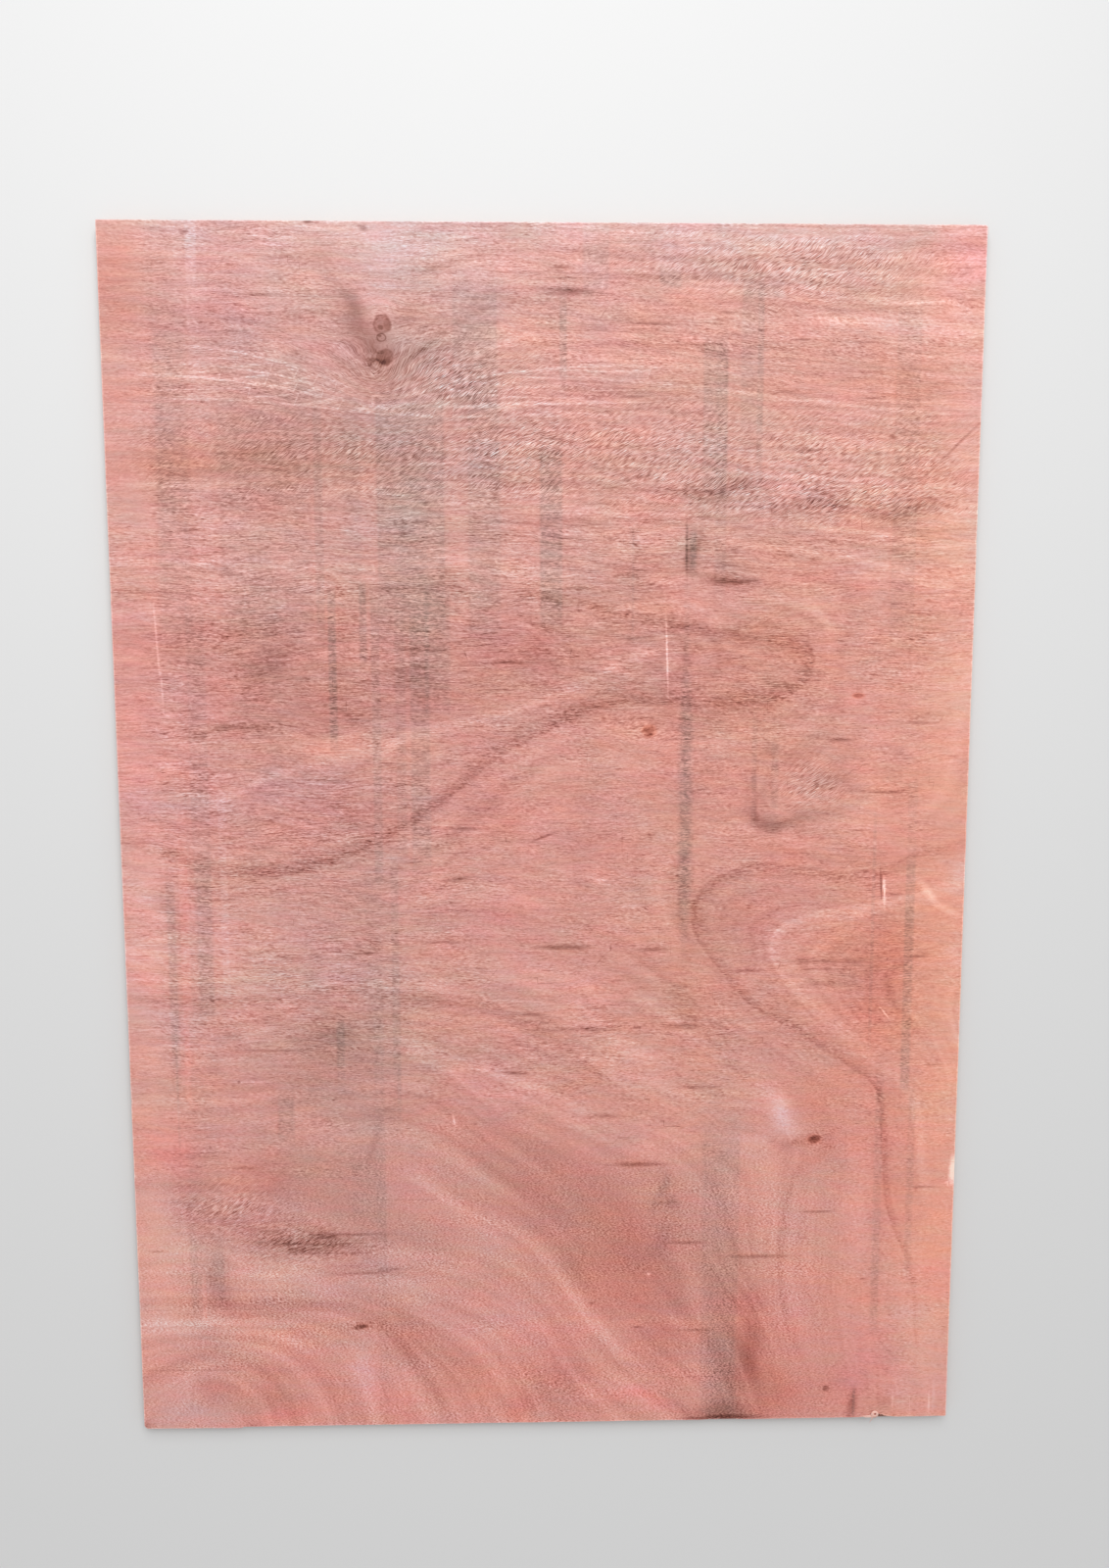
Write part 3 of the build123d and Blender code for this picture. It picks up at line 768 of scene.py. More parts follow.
    def ring(self, x: Array, y: Array) -> Array:
        """The gap to the nearest growth line over its width, its depth, and the age of the wood.

        Args:
            x: Places along the grain.
            y: Places across it.

        Returns:
            One row of three for each place.
        """
        run_out = 45
        nearest = np.full(x.shape, np.inf)
        gap = np.zeros(x.shape)
        depth = np.zeros(x.shape)
        for line in self.growth_lines:
            curve = smooth_line(line.points)
            run = np.concatenate([[0], np.cumsum(np.hypot(*np.diff(curve, axis=0).T))])
            for start, end, begun, done in zip(curve, curve[1:], run, run[1:]):
                step = end - start
                share = ((x - start[0]) * step[0] + (y - start[1]) * step[1]) / (step @ step)
                share = np.clip(share, 0, 1)
                off_x = x - start[0] - share * step[0]
                off_y = y - start[1] - share * step[1]
                distance = np.hypot(off_x, off_y)
                side = np.sign(step[0] * off_y - step[1] * off_x)
                travelled = begun + share * (done - begun)
                strength = ease(travelled, 0, run_out) * ease(run[-1] - travelled, 0, run_out)
                closer = distance < nearest
                nearest = np.where(closer, distance, nearest)
                gap = np.where(closer, side * distance / line.width_at(travelled / run[-1]), gap)
                depth = np.where(closer, line.depth_at(travelled / run[-1]) * strength, depth)
        return np.stack([np.clip(gap, -60, 60), depth, self.age(x, y)], -1)

    def age(self, x: Array, y: Array) -> Array:
        """The age of the wood: a thin plate that is bent to pass all the contours.

        Args:
            x: Places along the grain.
            y: Places across it.

        Returns:
            The age at each place.
        """
        pins = np.array([point for line in self.contours for point in line.points], float) / 1000
        ages = np.array([line.age for line in self.contours for _ in line.points])

        def sag(places: Array) -> Array:
            """How far a pin at each contour point bends the plate at these places."""
            square = (places[:, :1] - pins[:, 0]) ** 2 + (places[:, 1:] - pins[:, 1]) ** 2
            return square * np.log(square + 1e-9)

        plane = np.column_stack([np.ones(len(pins)), pins])
        stiff = sag(pins) + 2e-4 * np.eye(len(pins))
        system = np.block([[stiff, plane], [plane.T, np.zeros((3, 3))]])
        answer = np.linalg.solve(system, np.concatenate([ages, np.zeros(3)]))
        pull, (rest, slope_x, slope_y) = answer[:-3], answer[-3:]
        places = np.column_stack([x, y]) / 1000
        return sag(places) @ pull + rest + slope_x * places[:, 0] + slope_y * places[:, 1]

    def dashes(self, x: Array, y: Array) -> Array:
        """How thickly each place is set with short dark dashes, and with long threads.

        Args:
            x: Places along the grain.
            y: Places across it.

        Returns:
            One row of three for each place, of which the last is not used.
        """
        warped = self.warped(x, y)
        dashed = sum(b.deepening(*warped) for b in self.dashed)
        drift = 30 * Wander(24, 120, 420).at(x, y)
        threaded = ease(y + drift, 380, 760) * (1.0 - 0.5 * ease(y + drift, 1380, 1440))
        threaded = threaded * (1.0 - 0.35 * ease(y, 1150, 1050) * ease(x, 350, 550) * ease(y, 600, 700))
        return np.stack([dashed, threaded, np.zeros(x.shape)], -1)

    def banding(self, x: Array, y: Array) -> tuple[Array, Array]:
        """How strong the broad streaks and the bands of age are.

        Args:
            x: Places along the grain.
            y: Places across it.

        Returns:
            The strength of the streaks and that of the bands at each place.
        """
        step = 8.0
        steepest = 0.014
        calm = 1.0 - 0.5 * ease(y, 1310, 1230) * ease(x, 60, 160) - 0.3 * ease(x, 90, 30)
        here = self.age(x, y)
        slope = np.hypot(self.age(x + step, y) - here, self.age(x, y + step) - here) / step
        banded = np.clip(steepest / np.maximum(slope, 1e-6), 0.25, 1.0)
        banded = banded * (1.0 - self.unbanded.deepening(x, y))
        banded = banded * (1.0 - 0.45 * ease(x, 470, 330) * ease(y, 170, 230))
        banded = banded * (1.0 - 0.55 * ease(x, 900, 980) * ease(y, 600, 500))
        return calm, banded * (1.0 - 0.35 * ease(y, 1250, 1100) * ease(y, 620, 760))

    def weave(self, x: Array, y: Array) -> Array:
        """How speckled, how slanting and how strong the fine texture is at each place.

        Args:
            x: Places along the grain.
            y: Places across it.

        Returns:
            One row of three for each place.
        """
        drift = 26 * Wander(21, 90, 320).at(x, y)
        speckled = ease(y + drift - 0.10 * (x - 600), 570, 300) * (1 - 0.8 * ease(x, 960, 1110))
        slanting = sum(b.weight(x, y) for b in self.slanting)
        strength = 1.0 + 0.05 * speckled + 0.12 * Wander(22, 70, 260).at(x, y)
        strength -= 0.14 * ease(y, 1050, 900) * ease(y, 600, 700) * ease(x, 400, 550)
        strength -= 0.35 * ease(x, 70, 40) + 0.30 * ease(x, 1140, 1190)
        strength += sum(b.deepening(x, y) for b in self.coarser)
        return np.stack([speckled, np.clip(slanting, 0, 1), np.clip(strength, 0.2, 1.4)], -1)

    def marks(self, x: Array, y: Array) -> Array:
        """Each place in the frame of the fleck nearest to it, and that fleck's depth.

        Args:
            x: Places along the grain.
            y: Places across it.

        Returns:
            How far along and across, in half lengths and half widths, and the depth in levels.
        """
        far = 12
        nearest = np.full(x.shape, np.inf)
        found = np.zeros((*x.shape, 3))
        for fleck in self.flecks:
            along, across = turned(x - fleck.x, y - fleck.y, fleck.tilt)
            distance = np.hypot(np.maximum(np.abs(along) - fleck.length / 2, 0), across)
            own = np.stack([
                np.clip(2 * along / fleck.length, -far, far),
                np.clip(2 * across / fleck.width, -far, far),
                np.full(x.shape, fleck.depth),
            ], -1)
            closer = distance < nearest
            nearest = np.where(closer, distance, nearest)
            found = np.where(closer[:, None], own, found)
        return found


class Field:
    """A number that a material works out at every point, with the usual arithmetic."""

    def __init__(self, graph: "Graph", socket: Socket) -> None:
        """Keep the material's graph and the socket that gives the number."""
        self.graph = graph
        self.socket = socket

    def __add__(self, other: object) -> "Field":
        """Add a number."""
        return self.graph.math("ADD", self, other)

    def __sub__(self, other: object) -> "Field":
        """Take a number away."""
        return self.graph.math("SUBTRACT", self, other)

    def __rsub__(self, other: object) -> "Field":
        """Take this away from a number."""
        return self.graph.math("SUBTRACT", other, self)

    def __mul__(self, other: object) -> "Field":
        """Multiply by a number."""
        return self.graph.math("MULTIPLY", self, other)

    def __truediv__(self, other: object) -> "Field":
        """Divide by a number."""
        return self.graph.math("DIVIDE", self, other)

    def __abs__(self) -> "Field":
        """The number without its sign."""
        return self.graph.math("ABSOLUTE", self)

    __radd__ = __add__
    __rmul__ = __mul__


class Tree:
    """A node tree while it is being drawn."""

    def __init__(self, tree: bpy.types.NodeTree) -> None:
        """Keep the tree."""
        self.tree = tree

    def add(self, kind: str, inputs: dict | None = None, **settings: object) -> bpy.types.Node:
        """Add a node.

        Args:
            kind: The node's type.
            inputs: What each of its inputs gets, by name or number: a field, a socket or a value.
            settings: Its properties.

        Returns:
            The node.
        """
        node = self.tree.nodes.new(kind)
        for name, value in settings.items():
            setattr(node, name, value)
        for key, value in (inputs or {}).items():
            source = getattr(value, "socket", value)
            if isinstance(source, Socket):
                self.tree.links.new(source, node.inputs[key])
            else:
                node.inputs[key].default_value = source
        return node


class Graph(Tree):
    """A material while it is being drawn."""

    def __init__(self, name: str) -> None:
        """Start an empty material.

        Args:
            name: Its name.
        """
        self.material = bpy.data.materials.new(name)
        self.material.use_nodes = True
        super().__init__(self.material.node_tree)
        self.tree.nodes.clear()

    def math(self, operation: str, *values: object, clamp: bool = False) -> Field:
        """Calculate with numbers."""
        node = self.add("ShaderNodeMath", dict(enumerate(values)), operation=operation, use_clamp=clamp)
        return Field(self, node.outputs[0])

    def vector(self, operation: str, *values: object) -> Socket:
        """Calculate with vectors."""
        node = self.add("ShaderNodeVectorMath", dict(enumerate(values)), operation=operation)
        return node.outputs["Vector"]

    def length(self, vector: Socket) -> Field:
        """The length of a vector."""
        node = self.add("ShaderNodeVectorMath", {0: vector}, operation="LENGTH")
        return Field(self, node.outputs["Value"])

    def split(self, vector: Socket) -> tuple[Field, ...]:
        """The three numbers of a vector."""
        return tuple(Field(self, part) for part in self.add("ShaderNodeSeparateXYZ", {0: vector}).outputs)

    def join(self, *numbers: object) -> Socket:
        """A vector of up to three numbers, the rest being 0."""
        return self.add("ShaderNodeCombineXYZ", dict(enumerate(numbers))).outputs[0]

    def stored(self, name: str) -> Socket:
        """The vector that the mesh holds under this name."""
        return self.add("ShaderNodeAttribute", attribute_name=name).outputs["Vector"]

    def place(self) -> Socket:
        """Where a point of the piece is, in mm in the CAD model's frame."""
        coordinates = self.add("ShaderNodeTexCoord").outputs["Object"]
        return self.vector("MULTIPLY", coordinates, (1 / METRES,) * 3)

    def noise(self, place: Socket, along: float, across: float, shift: float,
              detail: float = 2.0, roughness: float = 0.5) -> Field:
        """Flat noise, stretched.

        Args:
            place: Where it is read, in mm.
            along: The size of its blotches along the first axis, in mm.
            across: Their size along the second axis.
            shift: Moves the pattern, so that layers differ.
            detail: How many finer layers it has.
            roughness: How strong those are.

        Returns:
            The noise, about a half on average.
        """
        scaled = self.vector("MULTIPLY_ADD", place, (1 / along, 1 / across, 0.0), (shift, -1.7 * shift, 0.0))
        inputs = {"Vector": scaled, "Scale": 1.0, "Detail": detail, "Roughness": roughness}
        return Field(self, self.add("ShaderNodeTexNoise", inputs, noise_dimensions="2D").outputs["Fac"])

    def rise(self, value: object, start: float, end: float,
             low: object = 0.0, high: object = 1.0) -> Field:
        """Ease from one number to another.

        Args:
            value: What it follows.
            start: The value that gives low.
            end: The value that gives high.
            low: The first number.
            high: The second number.

        Returns:
            The number.
        """
        inputs = dict(enumerate((value, start, end, low, high)))
        node = self.add("ShaderNodeMapRange", inputs, interpolation_type="SMOOTHSTEP")
        return Field(self, node.outputs["Result"])

    def mix(self, share: object, first: object, second: object, blend: str = "MIX") -> Socket:
        """Blend two colours."""
        inputs = {0: share, 6: first, 7: second}
        return self.add("ShaderNodeMix", inputs, data_type="RGBA", blend_type=blend).outputs[2]

    def wood(self, levels: Field, shades: Sequence[Colour]) -> Socket:
        """Colour wood by its brightness.

        Args:
            levels: The brightness, in levels up to 255.
            shades: The wood's colours from dark to pale, as they are seen.

        Returns:
            The colour.
        """
        darkest = brightness(shades[0])
        span = brightness(shades[-1]) - darkest
        share = self.math("MULTIPLY_ADD", levels, 1 / span, -darkest / span, clamp=True)
        node = self.add("ShaderNodeValToRGB", {0: share})
        elements = node.color_ramp.elements
        while len(elements) < len(shades):
            elements.new(0.5)
        for element, shade in zip(elements, shades):
            element.position = (brightness(shade) - darkest) / span
            element.color = linear(shade)
        return node.outputs["Color"]

    def retinted(self, colour: Socket, tint: Socket, *shares: tuple[Field, Colour]) -> Socket:
        """Tint a colour.

        Args:
            colour: The colour.
            tint: The shares of red, green and blue to add.
            shares: More of these, each with the field that says how much of it there is.

        Returns:
            The tinted colour.
        """
        for amount, own in shares:
            node = self.add("ShaderNodeVectorMath", {0: own, "Scale": amount}, operation="SCALE")
            tint = self.vector("ADD", tint, node.outputs["Vector"])
        return self.vector("MULTIPLY", colour, self.vector("ADD", tint, (1.0, 1.0, 1.0)))

    def finish(self, colour: Socket, rough: object, height: Field, relief: float,
               sheen: float = 0.3) -> Material:
        """Close the tree with a wood surface.

        Args:
            colour: The colour.
            rough: The roughness.
            height: The relief, where 1 stands highest.
            relief: How high 1 stands, in mm.
            sheen: How strongly the surface reflects.

        Returns:
            The material.
        """
        bump = self.add("ShaderNodeBump", {"Strength": 1.0, "Distance": relief * METRES, "Height": height})
        shader = self.add("ShaderNodeBsdfPrincipled", {
            "Specular IOR Level": sheen, "Base Color": colour, "Roughness": rough, "Normal": bump.outputs[0],
        })
        self.add("ShaderNodeOutputMaterial", {"Surface": shader.outputs[0]})
        return self.material


@dataclass(frozen=True)
class Streaks:
    """One layer of texture along the grain: sizes in mm, and depth in levels or what it is added to.

    Where low and high are given, only noise between them shows, and otherwise all of it does.
    """

    along: float
    across: float
    depth: float
    shift: float
    detail: float = 2.0
    low: float = 0.0
    high: float = 0.0

    def draw(self, graph: Graph, place: Socket) -> Field:
        """Draw the layer.

        Args:
            graph: The material.
            place: Where it is read, in mm.

        Returns:
            What it adds: about 0 on average, or from 0 to depth where low and high are given.
        """
        noise = graph.noise(place, self.along, self.across, self.shift, self.detail)
        if self.high:
            return graph.rise(noise, self.low, self.high, 0.0, self.depth)
        return self.depth * noise - self.depth / 2


@dataclass(frozen=True)
class Hairs:
    """One layer of crisp thin lines, drawn where a noise passes a level: sizes in mm, depth in levels."""

    along: float
    across: float
    depth: float
    level: float
    reach: float
    shift: float

    def draw(self, graph: Graph, place: Socket) -> Field:
        """Draw the layer, as levels to add."""
        noise = graph.noise(place, self.along, self.across, self.shift, 1.0)
        return graph.rise(abs(noise - self.level), 0.0, self.reach, self.depth, 0.0)


def draw_all(graph: Graph, place: Socket, layers: Sequence[Streaks | Hairs]) -> Field:
    """Draw layers of texture at the same place and add them up."""
    first, *others = (layer.draw(graph, place) for layer in layers)
    return sum(others, first)


@dataclass(frozen=True)
class FaceVeneer:
    """The good face: salmon hardwood veneer, cut by a rotary knife."""

    middle: float = 169.5
    shades: tuple[Colour, ...] = (
        (84, 38, 32), (128, 76, 65), (160, 103, 93), (175, 118, 109), (190, 132, 122), (211, 152, 142),
        (227, 172, 161), (237, 189, 182), (246, 213, 206), (251, 234, 229),
    )
    sway: tuple[Streaks, ...] = (Streaks(170, 40, 17, 51, 1), Streaks(42, 9, 2.6, 54, 1))
    ripple: Streaks = Streaks(13, 6, 1, 58)
    broad: tuple[Streaks, ...] = (
        Streaks(190, 27, 16, 3.1, 1), Streaks(62, 6.5, 17, 7.7, 1), Streaks(120, 2.6, 30, 23.9, 1),
    )
    streaks: tuple[Streaks, ...] = (Streaks(40, 1.5, 30, 12.3, 1), Streaks(13, 0.9, -34, 19.6, 1, 0.58, 0.76))
    threads: tuple[Streaks | Hairs, ...] = (
        Streaks(32, 1.1, 66, 27.9, 1),
        Hairs(50, 2.4, -32, 0.56, 0.06, 118), Hairs(34, 2.2, 20, 0.43, 0.06, 123),
    )
    hatch: Streaks = Streaks(6, 0.92, 82, 15.9, 1)
    speckle: Streaks = Streaks(3.6, 1.15, 150, 33.2)
    slants: tuple[Streaks, ...] = (
        Streaks(10, 0.95, 172, 44.8, 0), Streaks(9, 0.95, 54, 128, 0, 0.60, 0.82),
        Streaks(8, 0.95, -62, 133, 0, 0.58, 0.80),
    )
    slant_angle: float = -29.0
    slant_shear: float = 5.0
    grain_shear: float = 0.83
    speckle_cover: float = 0.85
    slant_cover: float = 0.84
    peak: float = 20.0
    peak_cut: float = 0.45
    dashes: Streaks = Streaks(11, 1.5, 1, 86, 1, 0.50, 0.66)
    strokes: Streaks = Streaks(12, 1.6, 1, 89, 1, 0.48, 0.62)
    dash_depth: float = 44.0
    bands: Streaks = Streaks(330, 0.24, 46, 70.1)
    age_ripple: float = 0.07
    gap_ripple: float = 5.0
    rim_ripple: float = 2.4
    line_break: float = 0.028
    pores: Streaks = Streaks(3.6, 0.42, 1, 63, 1, 0.66, 0.80)
    pore_depth: float = 26.0
    stain_depth: float = 6.5
    worn_paler: float = 26.0
    stain_tint: Colour = (-0.088, -0.004, 0.012)
    knot_tint: Colour = (0.08, -0.12, -0.20)
    hue_tint: Colour = (0.0062, -0.0030, -0.0050)
    peach_tint: Colour = (0.0, 0.0048, -0.0050)
    hue_places: Streaks = Streaks(110, 60, 27, 95, 1)
    hue_streaks: Streaks = Streaks(34, 11, 22, 99, 1)
    peach_places: Streaks = Streaks(130, 90, 11, 108, 0)
    peach_streaks: Streaks = Streaks(60, 14, 15, 104, 1)
    relief: float = 0.12

    def fine(self, graph: Graph, x: Field, grain_y: Field, grain: Socket, texture: Field) -> Field:
        """Draw the fine texture: straight, speckled or slanting, as the mesh says.

        Args:
            graph: The material.
            x: Places along the grain.
            grain_y: Places across it, with its bends taken out.
            grain: The two as one place, sheared.
            texture: The hatching, which is under all of it.

        Returns:
            Levels to add.
        """
        speckled, slanting, strength = graph.split(graph.stored("weave"))
        dashed, threaded, _ = graph.split(graph.stored("dashes"))
        turn = {"Vector": graph.join(x, grain_y), "Rotation": (0, 0, math.radians(self.slant_angle))}
        slant_x, slant_y, _ = graph.split(graph.add("ShaderNodeMapping", turn).outputs[0])
        slant = graph.join(slant_x + self.slant_shear * slant_y, slant_y)

        straight = texture + draw_all(graph, grain, self.streaks)
        straight = straight + threaded * draw_all(graph, grain, self.threads)
        fine = straight * (1.0 - self.speckle_cover * speckled - self.slant_cover * slanting)
        fine = fine + speckled * self.speckle.draw(graph, grain)
        fine = strength * (fine + slanting * draw_all(graph, slant, self.slants))
        fine = fine - self.peak_cut * graph.math("MAXIMUM", fine - self.peak, 0.0)
        dashes = self.dashes.draw(graph, grain)
        dashes = dashes + slanting * (self.strokes.draw(graph, slant) - dashes)
        return fine - self.dash_depth * dashes * dashed

    def growth(self, graph: Graph, gap: Field, depth: Field, fine: Field) -> Field:
        """Draw the growth lines, broken up by the fine texture.

        Args:
            graph: The material.
            gap: How far the line is, over its width.
            depth: Its depth in levels.
            fine: The fine texture.

        Returns:
            Levels to take away.
        """
        crisp = graph.rise(gap, -8.0, -1.0)
        slow = graph.rise(gap, -1.0, 24.0, 1.0, 0.0)
        line = crisp * slow * depth
        return line - self.line_break * fine * graph.math("MAXIMUM", line, -0.3 * line)

    def fleck(self, graph: Graph, ripple: Field, texture: Field) -> Field:
        """Draw the fleck that is nearest, with a frayed outline.

        Args:
            graph: The material.
            ripple: Noise that frays the outline.
            texture: The hatching, which frays it finely.

        Returns:
            Levels to take away.
        """
        along, across, depth = graph.split(graph.stored("marks"))
        reach = graph.length(graph.join(along, across + 0.8 * ripple + 0.010 * texture))
        return graph.rise(reach, 0.1, 2.3, 1.45 * depth, 0.0)

    def knots(self, graph: Graph, place: Socket, ripple: Field, figure: Figure,
              middle: Point) -> tuple[Field, Field]:
        """Draw the pin knots.

        Args:
            graph: The material.
            place: Where the point is, in mm.
            ripple: Noise that makes the outlines uneven.
            figure: Where the knots are.
            middle: The middle of the sheet, from its left side and foot.

        Returns:
            The levels that the knots take away, and how red they are.
        """
        flat = graph.join(*graph.split(place)[:2])
        uneven = 0.4 * ripple
        depth = redness = 0.0
        for knot in figure.knots:
            inside = graph.add("ShaderNodeMapping", {
                "Vector": flat, "Location": (knot.x - middle[0], knot.y - middle[1], 0),
                "Rotation": (0, 0, math.radians(knot.tilt)), "Scale": (knot.radius_x, knot.radius_y, 1),
            }, vector_type="TEXTURE").outputs[0]
            reach = uneven + graph.length(inside)
            depth = depth + graph.rise(reach, 0.55, 1.15, knot.eye, 0.0)
            if knot.rim:
                depth = depth + graph.rise(abs(reach - 0.92), 0.02, 0.26, knot.rim, 0.0)
            if knot.halo:
                depth = depth + graph.rise(reach, 0.9, 3.4, knot.halo, 0.0)
            if knot.redness:
                redness = redness + graph.rise(reach, 0.7, 1.5, knot.redness, 0.0)
        return depth, redness

    def dress(self, figure: Figure, middle: Point) -> Material:
        """Draw the material.

        Args:
            figure: What the face shows.
            middle: The middle of the sheet, from its left side and foot.

        Returns:
            The material.
        """
        graph = Graph("face_veneer")
        place = graph.place()
        x, y, _ = graph.split(place)
        deeper, stain, shift = graph.split(graph.stored("tone"))
        gap, line_depth, age = graph.split(graph.stored("ring"))
        rim, calm, banded = graph.split(graph.stored("rim"))
        speckled = graph.split(graph.stored("weave"))[0]

        ripple = self.ripple.draw(graph, place)
        grain_y = y + shift + draw_all(graph, place, self.sway)
        # Sheared, so that the noises' own lattice does not line up across the grain
        grain = graph.join(x + self.grain_shear * grain_y, grain_y)
        texture = self.hatch.draw(graph, grain)
        fine = self.fine(graph, x, grain_y, grain, texture)
        broad = draw_all(graph, grain, self.broad) * (calm - 0.8 * speckled)
        bands = self.bands.draw(graph, graph.join(x - y, age + self.age_ripple * ripple)) * banded
        line = self.growth(graph, gap + self.gap_ripple * ripple, line_depth, fine)
        greyness = stain * graph.rise(fine, -17.0, 15.0, 1.9, 0.35)
        knot_depth, redness = self.knots(graph, place, ripple, figure, middle)
        pores = self.pores.draw(graph, grain)
        worn = graph.rise(rim + self.rim_ripple * ripple, 0.4, 1.7, 1.0, 0.0)

        levels = self.middle + fine + broad + bands - deeper - line
        levels = levels - self.stain_depth * greyness - self.pore_depth * pores
        levels = levels - self.fleck(graph, ripple, texture) - knot_depth
        levels = levels + self.worn_paler * worn

        hue = self.hue_places.draw(graph, place) + self.hue_streaks.draw(graph, grain) - 0.17 * fine
        peach = self.peach_places.draw(graph, place) + self.peach_streaks.draw(graph, grain)
        colour = graph.retinted(
            graph.wood(levels, self.shades), graph.stored("tint"), (greyness, self.stain_tint),
            (redness, self.knot_tint), (hue + 0.16 * line, self.hue_tint), (peach, self.peach_tint),
        )
        rough = graph.rise(levels, 120.0, 210.0, 0.72, 0.58)
        return graph.finish(colour, rough, 0.009 * texture - 0.7 * pores, self.relief)


@dataclass(frozen=True)
class TornWood:
    """Bare wood where fibres have torn: pale and stringy."""

    shades: tuple[Colour, ...] = (
        (120, 70, 58), (196, 134, 122), (238, 184, 170), (250, 208, 196), (254, 230, 221),
    )
    middle: float = 213.0
    blotches: Streaks = Streaks(9, 5, 34, 9)

    def dress(self) -> Material:
        """Draw the material.

        Returns:
            The material.
        """
        graph = Graph("torn_wood")
        x, y, z = graph.split(graph.place())
        strings = graph.join(x, y + z)
        fibres = graph.noise(strings, 5.0, 0.5, 4.0, 3.0, 0.6)
        levels = self.middle + 60.0 * (fibres - 0.5) + self.blotches.draw(graph, strings)
        return graph.finish(graph.wood(levels, self.shades), 0.75, fibres, 0.25, 0.2)


@dataclass(frozen=True)
class BackVeneer:
    """The back: plainer veneer of the same wood."""

    middle: float = 160.0
    shades: tuple[Colour, ...] = FaceVeneer.shades
    sway: Streaks = Streaks(160, 60, 34, 88)
    streaks: tuple[Streaks, ...] = (
        Streaks(260, 42, 40, 71), Streaks(60, 7, 34, 75), Streaks(16, 1.7, 50, 79),
        Streaks(9, 1.2, -30, 83, 2, 0.58, 0.74),
    )
    pores: Streaks = Streaks(4, 0.45, 1, 92, 1, 0.66, 0.80)
    pore_depth: float = 24.0

    def dress(self) -> Material:
        """Draw the material.

        Returns:
            The material.
        """
        graph = Graph("back_veneer")
        place = graph.place()
        x, y, _ = graph.split(place)
        grain = graph.join(x, y + self.sway.draw(graph, place))
        streaks = draw_all(graph, grain, self.streaks)
        pores = self.pores.draw(graph, grain)
        levels = self.middle + streaks - self.pore_depth * pores
        return graph.finish(graph.wood(levels, self.shades), 0.68, 0.012 * streaks - 0.7 * pores, 0.12)


class EdgeRun(Enum):
    """Which way an edge runs: along the face grain, as the foot does, or across it."""

    ALONG_GRAIN = "x"
    ACROSS_GRAIN = "y"


@dataclass(frozen=True)
class Plies:
    """How the sheet is laid up: thin faces, and thicker plies with their grain crossed in turn."""

    face: float = 1.2
    inner: int = 7
    glue_line: float = 0.22

    def ply(self, thickness: float) -> float:
        """The thickness of an inner ply, in mm."""
        return (thickness - 2 * self.face) / self.inner

    def glue_heights(self, thickness: float) -> list[float]:
        """How high the glue lines lie, from the underside up."""
        return [self.face + i * self.ply(thickness) for i in range(self.inner + 1)]


